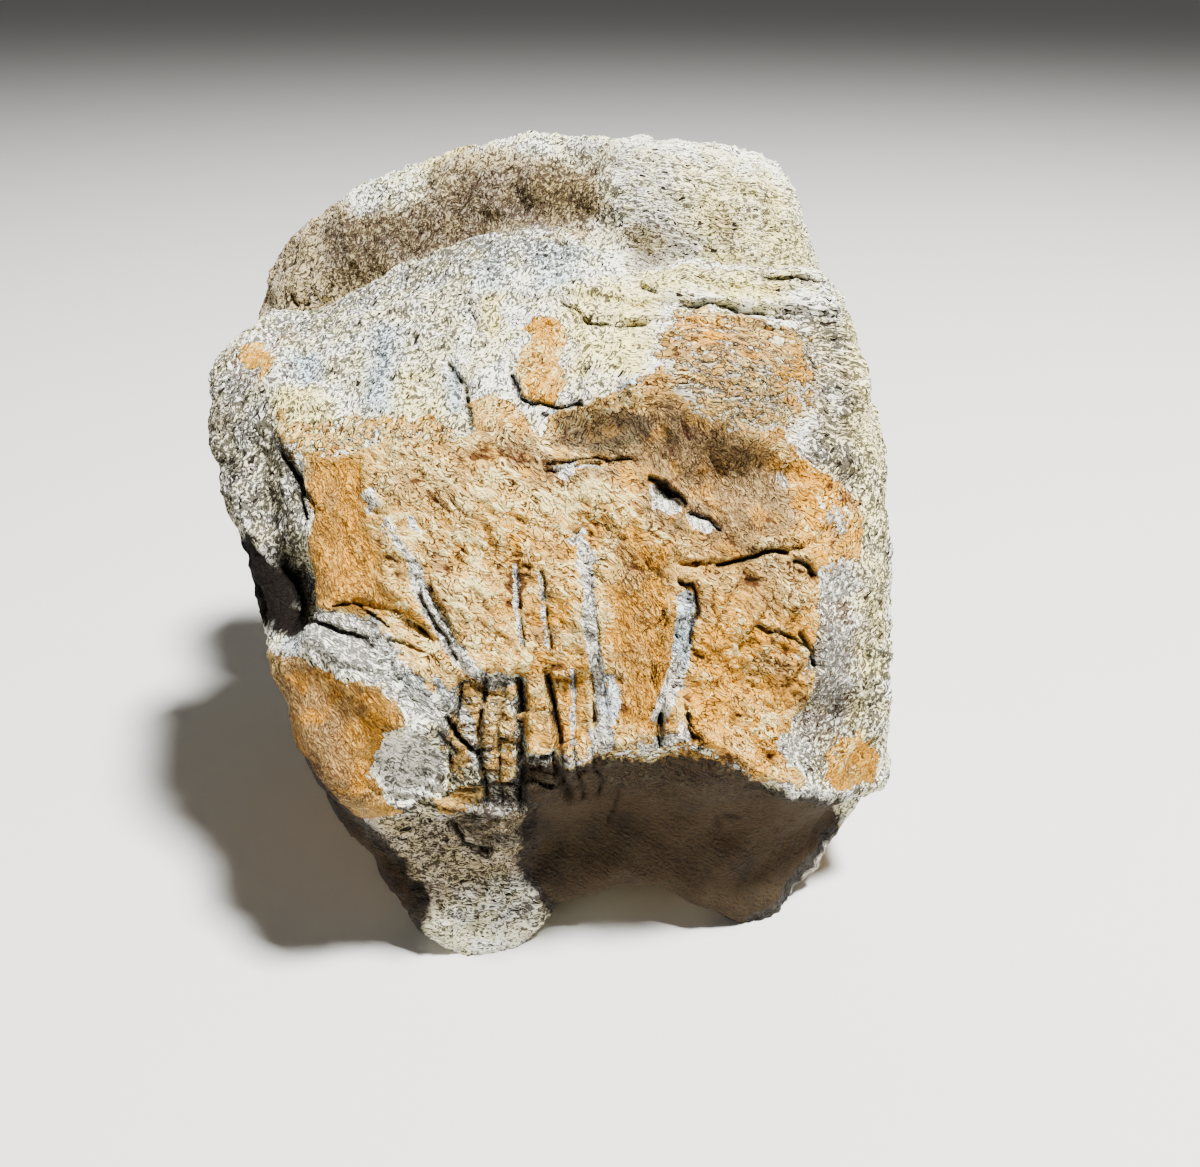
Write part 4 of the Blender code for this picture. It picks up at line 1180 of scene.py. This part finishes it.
    def cloud(self, mesh: bpy.types.Mesh) -> None:
        """Keeps crooked places and broad colour clouds on the mesh, for the fine patterns.

        Args:
            mesh: The thinned bone in millimetres.
        """
        places, _ = self.read(mesh)
        crooked = places + 0.75 * np.stack(
            [lumps(places, 2.6, s) + 0.45 * lumps(places, 1.2, s + 1.5)
             for s in (121.0, 127.0, 131.0)], 1)
        layer = mesh.attributes.new("crooked", "FLOAT_VECTOR", "POINT")
        layer.data.foreach_set("vector", crooked.astype(np.float32).ravel())
        mottle, warm, smudge = (
            0.5 + 0.3 * (lumps(places, size, seed) + 0.6 * lumps(places, size * 0.45, seed + 2.0)
                         + 0.4 * lumps(places, size * 0.2, seed + 4.0))
            for size, seed in ((3.6, 137.0), (7.5, 139.0), (5.2, 149.0)))
        self.keep(mesh, "clouds", mottle, warm, smudge)

    def thin_out(self, mesh: bpy.types.Mesh) -> bpy.types.Mesh:
        """Fewer faces where the bone is smooth, most of them where it is rough.

        Args:
            mesh: The finished dense mesh, which is removed.

        Returns:
            A mesh of about faces_kept triangles with the same masks.
        """
        dense = bpy.data.objects.new("dense_bone", mesh)
        bpy.context.scene.collection.objects.link(dense)
        thinner = dense.modifiers.new("thinner", "DECIMATE")
        thinner.ratio = self.faces_kept / sum(len(face.vertices) - 2 for face in mesh.polygons)
        view = bpy.context.evaluated_depsgraph_get()
        thinned = bpy.data.meshes.new_from_object(dense.evaluated_get(view))
        bpy.data.objects.remove(dense, do_unlink=True)
        bpy.data.meshes.remove(mesh)
        return thinned

    def mend(self, mesh: bpy.types.Mesh) -> None:
        """Cuts out the crumpled faces where the loft's rows meet, and fills their gap.

        Args:
            mesh: The thinned mesh, whose faces are changed.
        """
        bm = bmesh.new()
        bm.from_mesh(mesh)
        crumpled = {vert for edge in bm.edges if not edge.is_manifold for vert in edge.verts}
        for _ in range(self.mend_rings):
            crumpled |= {edge.other_vert(vert) for vert in crumpled for edge in vert.link_edges}
        faces = [face for face in bm.faces if any(vert in crumpled for vert in face.verts)]
        bmesh.ops.delete(bm, geom=faces, context="FACES")
        rim = [edge for edge in bm.edges if edge.is_boundary]
        bmesh.ops.triangle_fill(bm, edges=rim, use_beauty=True, normal=self.mend_facing)
        bmesh.ops.recalc_face_normals(bm, faces=bm.faces)
        LOG.info("mended: %d faces cut out, %d edges not manifold", len(faces),
                 sum(not edge.is_manifold for edge in bm.edges))
        bm.to_mesh(mesh)
        bm.free()

    def settle(self, mesh: bpy.types.Mesh, box: tuple[Vector, Vector]) -> None:
        """Cuts the undersides level and fits the bone into the solid's box.

        Args:
            mesh: The bone in millimetres, which ends up in metres over the origin.
            box: Lowest and highest corner of the solid, in metres.
        """
        bm = bmesh.new()
        bm.from_mesh(mesh)
        bmesh.ops.triangulate(bm, faces=bm.faces)
        everything = bm.verts[:] + bm.edges[:] + bm.faces[:]
        cut = bmesh.ops.bisect_plane(bm, geom=everything, plane_co=(0, 0, self.contact_level),
                                     plane_no=(0, 0, 1), clear_inner=True)
        rim = [item for item in cut["geom_cut"] if isinstance(item, bmesh.types.BMEdge)]
        bmesh.ops.holes_fill(bm, edges=rim)
        bmesh.ops.recalc_face_normals(bm, faces=bm.faces)
        bm.to_mesh(mesh)
        bm.free()
        places, _ = self.read(mesh)
        low, high = places.min(axis=0), places.max(axis=0)
        target_low, target_high = np.array(box[0]), np.array(box[1])
        share = (places - low) / (high - low)
        self.write(mesh, target_low + share * (target_high - target_low))

    def build(self, box: tuple[Vector, Vector]) -> bpy.types.Object:
        """Builds the bone.

        Args:
            box: Lowest and highest corner of the solid, in metres.

        Returns:
            The finished object, without its material.
        """
        mesh = self.form.loft()
        LOG.info("loft: %d points", len(mesh.vertices))
        carved = self.carve(mesh)
        LOG.info("front carved")
        self.roughen(mesh, carved)
        LOG.info("fine relief added")
        mesh = self.thin_out(mesh)
        self.mend(mesh)
        self.cloud(mesh)
        self.settle(mesh, box)
        mesh.shade_smooth()
        LOG.info("bone: %d faces", len(mesh.polygons))
        bone = bpy.data.objects.new("vertebra_bone", mesh)
        bpy.context.scene.collection.objects.link(bone)
        return bone


class Graph:
    """Short words for building a node tree in millimetres."""

    def __init__(self, material: bpy.types.Material) -> None:
        """Empties the material's node tree down to its shader and output."""
        material.use_nodes = True
        self.tree = material.node_tree
        self.shader = self.tree.nodes["Principled BSDF"]
        place = self.tree.nodes.new("ShaderNodeTexCoord").outputs["Object"]
        self.place = self.vector("SCALE", place, scale=1 / MM)

    def put(self, socket: bpy.types.NodeSocket,
            value: bpy.types.NodeSocket | float | tuple[float, ...]) -> None:
        """Links a socket to another one, or sets its number or colour."""
        if isinstance(value, bpy.types.NodeSocket):
            self.tree.links.new(value, socket)
        else:
            socket.default_value = value

    def vector(self, operation: str, first: bpy.types.NodeSocket,
               second: bpy.types.NodeSocket | None = None,
               scale: float | None = None) -> bpy.types.NodeSocket:
        """One vector sum."""
        node = self.tree.nodes.new("ShaderNodeVectorMath")
        node.operation = operation
        self.put(node.inputs[0], first)
        if second is not None:
            self.put(node.inputs[1], second)
        if scale is not None:
            node.inputs["Scale"].default_value = scale
        return node.outputs["Vector"]

    def math(self, operation: str, *values: bpy.types.NodeSocket | float) -> bpy.types.NodeSocket:
        """One sum with up to three values, kept between 0 and 1."""
        node = self.tree.nodes.new("ShaderNodeMath")
        node.operation = operation
        node.use_clamp = True
        for socket, value in zip(node.inputs, values):
            self.put(socket, value)
        return node.outputs["Value"]

    def step(self, value: bpy.types.NodeSocket, low: float, high: float) -> bpy.types.NodeSocket:
        """Eases a value from 0 at low to 1 at high; low may be the larger one."""
        node = self.tree.nodes.new("ShaderNodeMapRange")
        node.interpolation_type = "SMOOTHSTEP"
        self.put(node.inputs["Value"], value)
        node.inputs["From Min"].default_value = min(low, high)
        node.inputs["From Max"].default_value = max(low, high)
        node.inputs["To Min"].default_value = 0.0 if low < high else 1.0
        node.inputs["To Max"].default_value = 1.0 if low < high else 0.0
        return node.outputs["Result"]

    def mix(self, share: bpy.types.NodeSocket | float,
            first: bpy.types.NodeSocket | tuple[float, ...],
            second: bpy.types.NodeSocket | tuple[float, ...],
            strength: float = 1.0) -> bpy.types.NodeSocket:
        """Mixes two colours by a share, which a strength other than 1 weakens."""
        if strength != 1.0:
            share = self.math("MULTIPLY", share, strength)
        node = self.tree.nodes.new("ShaderNodeMix")
        node.data_type = "RGBA"
        self.put(node.inputs[0], share)
        self.put(node.inputs[6], first)
        self.put(node.inputs[7], second)
        return node.outputs[2]

    def noise(self, size: float, detail: float = 2.0,
              place: bpy.types.NodeSocket | None = None) -> bpy.types.NodeSocket:
        """Random pattern from 0 to 1 that changes over size millimetres."""
        node = self.tree.nodes.new("ShaderNodeTexNoise")
        self.put(node.inputs["Vector"], place if place is not None else self.place)
        node.inputs["Scale"].default_value = 1 / size
        node.inputs["Detail"].default_value = detail
        node.inputs["Roughness"].default_value = 0.6
        return node.outputs["Fac"]

    def along(self, grain: Grain, place: bpy.types.NodeSocket) -> bpy.types.NodeSocket:
        """Places measured in fibre lengths along a grain and in fibre widths across it."""
        axes = grain.axes()
        stretch = (grain.length, grain.width, grain.width)
        parts = []
        for axis, length in zip(axes, stretch):
            node = self.tree.nodes.new("ShaderNodeVectorMath")
            node.operation = "DOT_PRODUCT"
            self.put(node.inputs[0], place)
            node.inputs[1].default_value = tuple(axis / length)
            parts.append(node.outputs["Value"])
        joined = self.tree.nodes.new("ShaderNodeCombineXYZ")
        for socket, part in zip(joined.inputs, parts):
            self.put(socket, part)
        return joined.outputs["Vector"]

    def most(self, first: bpy.types.NodeSocket,
             second: bpy.types.NodeSocket) -> bpy.types.NodeSocket:
        """The larger of two values, kept between 0 and 1."""
        return self.math("MAXIMUM", first, second)

    def off(self, value: bpy.types.NodeSocket, level: float) -> bpy.types.NodeSocket:
        """How far a value is from a level, either way."""
        return self.math("ABSOLUTE", self.plain("SUBTRACT", value, level))

    def plain(self, operation: str, *values: bpy.types.NodeSocket | float) -> bpy.types.NodeSocket:
        """One sum that may pass 1."""
        result = self.math(operation, *values)
        result.node.use_clamp = False
        return result

    def moved(self, distance: float) -> bpy.types.NodeSocket:
        """Places that are moved, for a pattern of its own."""
        return self.vector("ADD", self.place, (distance, distance * 0.7, -distance))

    def crooked(self) -> bpy.types.NodeSocket:
        """Places in millimetres, moved about at random, as the mesh keeps them."""
        node = self.tree.nodes.new("ShaderNodeAttribute")
        node.attribute_name = "crooked"
        return node.outputs["Vector"]

    def switch(self, share: bpy.types.NodeSocket, first: bpy.types.NodeSocket,
               second: bpy.types.NodeSocket) -> bpy.types.NodeSocket:
        """Takes the second places where the share passes a half, and else the first."""
        node = self.tree.nodes.new("ShaderNodeMix")
        node.data_type = "VECTOR"
        self.put(node.inputs[0], self.math("GREATER_THAN", share, 0.5))
        self.put(node.inputs[4], first)
        self.put(node.inputs[5], second)
        return node.outputs[1]

    def masks(self, name: str) -> list[bpy.types.NodeSocket]:
        """The three masks kept in one attribute of the mesh."""
        node = self.tree.nodes.new("ShaderNodeAttribute")
        node.attribute_name = name
        split = self.tree.nodes.new("ShaderNodeSeparateColor")
        self.put(split.inputs["Color"], node.outputs["Color"])
        return [split.outputs[i] for i in range(3)]


def display(red: int, green: int, blue: int) -> tuple[float, float, float, float]:
    """Turns a colour as a screen shows it, 0 to 255, into the linear colour of a shader."""
    def linear(level: int) -> float:
        """One channel."""
        share = level / 255
        return share / 12.92 if share <= 0.04045 else ((share + 0.055) / 1.055) ** 2.4
    return (linear(red), linear(green), linear(blue), 1.0)


@dataclass(frozen=True)
class Patterns:
    """Random patterns that several colours share, each from 0 to 1."""

    fibres: bpy.types.NodeSocket
    # Feet of flaked steps and thin crease lines, cut into the bump and painted dark as shadow.
    creases: bpy.types.NodeSocket
    folds: bpy.types.NodeSocket
    streaks: bpy.types.NodeSocket
    mottle: bpy.types.NodeSocket
    speck: bpy.types.NodeSocket
    # Lit edges of flaked steps, for a painted highlight.
    lit_step_edges: bpy.types.NodeSocket
    strokes: bpy.types.NodeSocket


@dataclass(frozen=True)
class FossilFinish:
    """Colours and fine grain of old bone, mixed by the masks that the bone carries; some darks are
    painted shade and some lights painted highlight.
    """

    cream: tuple[float, ...] = display(238, 230, 188)
    white: tuple[float, ...] = display(250, 248, 232)
    blue_white: tuple[float, ...] = display(194, 213, 220)
    yellow_cream: tuple[float, ...] = display(236, 218, 122)
    grey: tuple[float, ...] = display(176, 172, 154)
    earth: tuple[float, ...] = display(158, 132, 84)
    # Pore insides, and painted shadow in the creases of the veins.
    fleck: tuple[float, ...] = display(34, 28, 22)
    fleck_brown: tuple[float, ...] = display(74, 44, 24)
    tan: tuple[float, ...] = display(200, 162, 92)
    orange: tuple[float, ...] = display(202, 140, 36)
    wood: tuple[float, ...] = display(142, 120, 82)
    # Fibre lines, and painted shade in the creases and low places of the skin.
    brown: tuple[float, ...] = display(72, 38, 14)
    smudge: tuple[float, ...] = display(128, 106, 72)
    # Real dusting and worn-through flecks, and painted highlight on ridges and step edges.
    dust_and_highlight: tuple[float, ...] = display(230, 210, 140)
    # Real dark staining, and painted shade on the undercut, the lower-left side and behind the
    # crest.
    stain_and_shade: tuple[float, ...] = display(35, 30, 26)
    chalk: tuple[float, ...] = display(240, 236, 220)
    # Painted shade for hollows, cracks, holes and open joints.
    shade: tuple[float, ...] = display(18, 13, 9)
    roughness: float = 0.92
    specular: float = 0.1
    flake_levels: float = 7.0
    fibre_size: float = 0.4
    swell_size: float = 1.0
    streak_size: float = 0.74
    speck_size: float = 0.5
    clump_size: float = 0.9
    stroke_levels: Span = (0.4, 0.56)
    crease_level: float = 0.47
    ragged_edge: Span = (0.4, 0.56)
    relief_reach: float = 3.2

    def patterns(self, graph: Graph, bone: Vertebra) -> Patterns:
        """Builds the shared patterns, which follow the grain of each part of the bone.

        Args:
            graph: Node tree that is built.
            bone: The bone, for the directions of its fibres.

        Returns:
            The patterns.
        """
        crooked = graph.crooked()
        flow = graph.along(bone.fibres_long, crooked)
        for share, grain in zip(graph.masks("grain"), (bone.fibres_left, bone.fibres_level,
                                                       bone.fibres_falling)):
            flow = graph.switch(share, flow, graph.along(grain, crooked))
        steep = graph.masks("side")[1]
        flow = graph.switch(steep, flow, graph.along(bone.fibres_steep, crooked))
        fibres = graph.noise(self.fibre_size, 1.0, flow)
        short = graph.vector("MULTIPLY", flow, SHORT_FIBRES)
        swells = graph.noise(self.swell_size, 1.6,
                             graph.vector("ADD", short, (3.0, 8.0, 1.0)))
        level = graph.plain("MULTIPLY", swells, self.flake_levels)
        part = graph.plain("FRACT", level)
        tread = graph.plain("ADD", graph.plain("FLOOR", level), graph.step(part, 0.0, 0.22))
        folds = graph.plain("DIVIDE", tread, self.flake_levels)
        # Foot of each step, painted dark as shadow, and its lit edge, painted light as highlight.
        foot = graph.most(graph.step(part, 0.86, 0.98), graph.step(part, 0.1, 0.02))
        lit_step_edge = graph.math("MULTIPLY", graph.step(part, 0.12, 0.22), graph.step(part, 0.5, 0.3))
        streaks = graph.noise(self.streak_size, 1.6,
                              graph.vector("ADD", short, (9.0, 4.0, 7.0)))
        other = graph.off(streaks, self.crease_level)
        there = graph.step(graph.masks("clouds")[2], 0.36, 0.5)
        creases = graph.most(graph.math("MULTIPLY", foot, there), graph.step(other, 0.012, 0.0))
        mottle = graph.masks("clouds")[0]
        first, second = (graph.off(streaks, line) for line in self.stroke_levels)
        strokes = graph.math("MINIMUM", first, second)
        long = graph.off(fibres, 0.5)
        banded = graph.most(graph.masks("grain")[1], steep)
        strokes = graph.plain("MULTIPLY_ADD", graph.plain("SUBTRACT", long, strokes), banded,
                              strokes)
        speck = graph.noise(self.speck_size, 1.0)
        return Patterns(fibres, creases, folds, streaks, mottle, speck, lit_step_edge, strokes)

    def spongy(self, graph: Graph, shared: Patterns,
               warm: bpy.types.NodeSocket) -> tuple[bpy.types.NodeSocket, bpy.types.NodeSocket]:
        """Pale bone with open pores.

        Args:
            graph: Node tree that is built.
            shared: The shared patterns.
            warm: Where the pores are brown instead of dark grey.

        Returns:
            The colour, and how open the bone is.
        """
        blue, yellow, grey = graph.masks("tints")
        open_pores, _, earth = graph.masks("pores")
        pale = graph.mix(graph.step(shared.mottle, 0.42, 0.6), self.cream, self.white)
        pale = graph.mix(yellow, pale, self.yellow_cream, 0.9)
        pale = graph.mix(blue, pale, self.blue_white, 0.95)
        pale = graph.mix(grey, pale, self.grey, 0.6)
        pale = graph.mix(earth, pale, self.earth, 0.8)
        clumps = graph.noise(self.clump_size, 0.0, graph.moved(17.0))
        broken = graph.plain("MULTIPLY_ADD", clumps, 0.9, -0.45)
        room = graph.plain("MULTIPLY_ADD", open_pores, 0.06, 0.3)
        room = graph.plain("ADD", room, graph.plain("MULTIPLY", broken, 0.12))
        hole = graph.step(graph.plain("SUBTRACT", shared.fibres, room), 0.03, 0.0)
        width = graph.plain("MULTIPLY_ADD", open_pores, 0.036, 0.014)
        width = graph.plain("ADD", width, graph.plain("MULTIPLY_ADD", shared.speck, 0.2, -0.09))
        width = graph.plain("ADD", width, graph.plain("MULTIPLY", broken, 0.08))
        slit = graph.step(graph.plain("SUBTRACT", shared.strokes, width), 0.012, -0.006)
        holes = graph.most(hole, graph.math("MULTIPLY", slit, 0.9))
        inside = graph.mix(warm, self.fleck, self.fleck_brown, 0.75)
        return graph.mix(holes, pale, inside), holes

    def skin(self, graph: Graph, shared: Patterns, ochre: bpy.types.NodeSocket,
             worn: bpy.types.NodeSocket, smooth: bpy.types.NodeSocket) -> bpy.types.NodeSocket:
        """Brown outer skin, with dusting and painted highlight on its ridges and painted shade in
        its creases.

        Args:
            graph: Node tree that is built.
            shared: The shared patterns.
            ochre: Where the skin is bright orange.
            worn: Raised places near 1, low ones near 0; they get painted highlight and painted
                shade.
            smooth: Where the skin has no creases.

        Returns:
            The colour.
        """
        _, warmth, smudge = graph.masks("clouds")
        warm = graph.math("MULTIPLY_ADD", warmth, 2.2, -0.75)
        warm = graph.math("ADD", graph.math("MULTIPLY", ochre, 0.85), warm)
        colour = graph.mix(warm, self.tan, self.orange)
        smudged = graph.step(smudge, 0.56, 0.7)
        colour = graph.mix(smudged, colour, self.smudge, 0.6)
        earth = graph.masks("pores")[2]
        wooden = graph.math("MULTIPLY", earth, graph.step(shared.mottle, 0.34, 0.52))
        colour = graph.mix(wooden, colour, self.wood, 0.9)
        rough = graph.math("SUBTRACT", 1.0, graph.math("MULTIPLY", smooth, 0.75))
        lines = graph.step(shared.fibres, 0.47, 0.34)
        colour = graph.mix(lines, colour, self.brown, 0.5)
        # Dusting and painted highlight: streaks and mottle are real, raised places and lit step
        # edges are painted highlight.
        dust_and_highlight_level = graph.plain("ADD", graph.plain("MULTIPLY", shared.streaks, 0.7),
                             graph.math("MULTIPLY", shared.mottle, 0.6))
        dust_and_highlight_level = graph.plain("ADD", dust_and_highlight_level, graph.math("MULTIPLY", worn, 0.35))
        pale_side = graph.step(graph.masks("side")[0], 1.0, 0.0)
        dust_and_highlight_level = graph.plain("ADD", dust_and_highlight_level, graph.math("MULTIPLY", pale_side, 0.1))
        dust_and_highlight_level = graph.plain("ADD", dust_and_highlight_level, graph.math("MULTIPLY", shared.lit_step_edges, 0.2))
        dust_and_highlight_level = graph.plain("SUBTRACT", dust_and_highlight_level, graph.math("MULTIPLY", earth, 0.12))
        steep = graph.masks("side")[1]
        rough_dust = graph.math("MULTIPLY", rough, graph.math("MULTIPLY_ADD", steep, -0.7, 1.0))
        dust_and_highlight_share = graph.math("MULTIPLY", graph.step(dust_and_highlight_level, 1.02, 1.12), rough_dust)
        colour = graph.mix(dust_and_highlight_share, colour, self.dust_and_highlight, 0.9)
        # Painted shade: low places, creases and step feet go dark brown; the scored strokes on the
        # steep facet are grain.
        low_and_shaded = graph.math("ADD", worn, graph.math("MULTIPLY_ADD", shared.speck, 0.4, -0.2))
        dark = graph.most(graph.step(low_and_shaded, 0.38, 0.12),
                          graph.math("MULTIPLY", shared.creases, rough))
        scored = graph.math("MULTIPLY", graph.step(shared.strokes, 0.07, 0.03), 0.85)
        dark = graph.most(dark, graph.math("MULTIPLY", steep, scored))
        return graph.mix(dark, colour, self.brown, 0.94)

    def build(self, bone: Vertebra) -> bpy.types.Material:
        """Builds the material.

        Args:
            bone: The bone that wears it.

        Returns:
            The finished material.
        """
        material = bpy.data.materials.new("fossil_bone_weathered")
        graph = Graph(material)
        skin, ochre, stain_and_shade = graph.masks("zones")
        # hollow and dark carry painted shade; worn drives painted highlight and painted shade on
        # the skin.
        chalk, hollow, worn = graph.masks("marks")
        _, dark, _ = graph.masks("pores")
        shared = self.patterns(graph, bone)
        right, _, under = graph.masks("side")
        smooth = graph.math("MULTIPLY", graph.math("SUBTRACT", ochre, right), 0.6)
        smooth = graph.most(smooth, under)

        warm = graph.most(ochre, stain_and_shade)
        pale, holes = self.spongy(graph, shared, warm)
        brown = self.skin(graph, shared, ochre, worn, smooth)
        ragged = graph.plain("ADD", graph.math("MULTIPLY", shared.speck, 0.6),
                             graph.math("MULTIPLY", shared.streaks, 1.4))
        edge = graph.step(graph.math("SUBTRACT", graph.plain("ADD", skin, ragged), 1.0),
                          *self.ragged_edge)
        colour = graph.mix(edge, pale, brown)
        bare = graph.step(graph.math("SUBTRACT", graph.plain("ADD", chalk, ragged), 1.0),
                          *self.ragged_edge)
        blue = graph.masks("tints")[0]
        vein = graph.mix(blue, self.chalk, self.blue_white, 0.8)
        # Pores of the veins go dark, and their creases get painted shadow.
        marks = graph.most(holes, graph.math("MULTIPLY", shared.creases, 0.5))
        vein = graph.mix(graph.step(shared.speck, 0.42, 0.3), vein, self.grey)
        vein = graph.mix(marks, vein, self.fleck, 0.92)
        colour = graph.mix(bare, colour, vein)
        # Dark staining, partly real and partly painted shade on the undercut, lower-left side and
        # lobe.
        stained_and_shaded = graph.math("MULTIPLY", stain_and_shade, graph.step(shared.speck, 0.7, 0.44))
        stained_and_shaded = graph.most(stained_and_shaded, graph.step(stain_and_shade, 0.6, 0.95))
        colour = graph.mix(stained_and_shaded, colour, self.stain_and_shade, 0.96)
        # Painted shade: hollows, cracks, open joints and the dark hollow mask go nearly black.
        colour = graph.mix(graph.most(hollow, dark), colour, self.shade)
        graph.put(graph.shader.inputs["Base Color"], colour)
        graph.shader.inputs["Roughness"].default_value = self.roughness
        graph.shader.inputs["Specular IOR Level"].default_value = self.specular

        covered = graph.math("MULTIPLY", edge, graph.math("SUBTRACT", 1.0, smooth))
        fibrous = graph.math("MULTIPLY_ADD", edge, -0.09, 0.18)
        height = graph.math("MULTIPLY_ADD", shared.fibres, fibrous,
                            graph.math("MULTIPLY", shared.speck, 0.1))
        height = graph.plain("ADD", height, graph.math("MULTIPLY", shared.folds, covered))
        carved = graph.most(graph.math("MULTIPLY", shared.creases, covered),
                            graph.math("MULTIPLY", holes, graph.math("SUBTRACT", 1.0, edge)))
        height = graph.plain("SUBTRACT", height, graph.math("MULTIPLY", carved, 0.2))
        bump = graph.tree.nodes.new("ShaderNodeBump")
        graph.put(bump.inputs["Height"], height)
        bump.inputs["Strength"].default_value = 1.0
        bump.inputs["Distance"].default_value = self.relief_reach * MM
        graph.put(graph.shader.inputs["Normal"], bump.outputs["Normal"])
        return material


@dataclass
class Studio:
    """Pale floor, soft light and the camera."""

    floor_radius: float = 12.0
    floor_colour: tuple[float, ...] = display(214, 212, 207)
    sight_height: float = 0.130
    sight_place: tuple[float, float] = (0.00845, -0.16865)
    sensor: float = 36.0
    lens: float = 34.5
    key_place: tuple[float, float, float] = (0.3, -0.14, 0.95)
    key_size: float = 0.14
    key_power: float = 51.0
    fill_place: tuple[float, float, float] = (-0.9, -1.1, 0.5)
    fill_size: float = 1.4
    fill_power: float = 3.0
    sky: float = 0.12
    aim: tuple[float, float, float] = (0.0, 0.0, 0.05)

    def build_floor(self) -> None:
        """Makes the floor, as one wide disc."""
        bm = bmesh.new()
        bmesh.ops.create_circle(bm, cap_ends=True, segments=96, radius=self.floor_radius)
        mesh = bpy.data.meshes.new("floor")
        bm.to_mesh(mesh)
        bm.free()
        material = bpy.data.materials.new("floor_paper")
        graph = Graph(material)
        tone = graph.noise(40.0, 2.0)
        darker = tuple(0.96 * level for level in self.floor_colour[:3]) + (1.0,)
        graph.put(graph.shader.inputs["Base Color"],
                  graph.mix(tone, darker, self.floor_colour))
        graph.shader.inputs["Roughness"].default_value = 0.9
        mesh.materials.append(material)
        floor = bpy.data.objects.new("floor", mesh)
        bpy.context.scene.collection.objects.link(floor)
        floor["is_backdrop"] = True

    def add_light(self, name: str, place: tuple[float, float, float], size: float,
                  power: float) -> None:
        """Adds one square light that looks at the middle of the bone."""
        light = bpy.data.lights.new(name, "AREA")
        light.size = size
        light.energy = power
        lamp = bpy.data.objects.new(name, light)
        lamp.location = place
        sight = Vector(self.aim) - Vector(place)
        lamp.rotation_euler = sight.to_track_quat("-Z", "Y").to_euler()
        bpy.context.scene.collection.objects.link(lamp)

    def add_camera(self) -> None:
        """Adds the camera at the height, tilt and distance of the photograph."""
        data = bpy.data.cameras.new("camera")
        data.sensor_width = self.sensor
        data.lens = self.lens
        data.clip_start = 0.01
        camera = bpy.data.objects.new("camera", data)
        camera.location = (*self.sight_place, self.sight_height)
        camera.rotation_euler = (math.pi / 2 - SIGHT, 0, 0)
        bpy.context.scene.collection.objects.link(camera)
        bpy.context.scene.camera = camera

    def build(self) -> None:
        """Makes the floor, the lights, the sky and the camera."""
        self.build_floor()
        self.add_light("key", self.key_place, self.key_size, self.key_power)
        self.add_light("fill", self.fill_place, self.fill_size, self.fill_power)
        world = bpy.data.worlds.new("studio")
        world.use_nodes = True
        back = world.node_tree.nodes["Background"]
        back.inputs["Color"].default_value = (1.0, 1.0, 1.0, 1.0)
        back.inputs["Strength"].default_value = self.sky
        bpy.context.scene.world = world
        self.add_camera()


def main() -> None:
    """Builds the studio and the bone."""
    logging.basicConfig(level=logging.INFO, format="%(name)s: %(message)s")
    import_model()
    solid_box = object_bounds()
    Studio().build()
    bone = Vertebra()
    piece = bone.build(solid_box)
    piece.data.materials.clear()
    piece.data.materials.append(FossilFinish().build(bone))
    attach(piece, "root")
    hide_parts(NODE)
    LOG.info("boxes written")


if __name__ == "__main__":
    main()
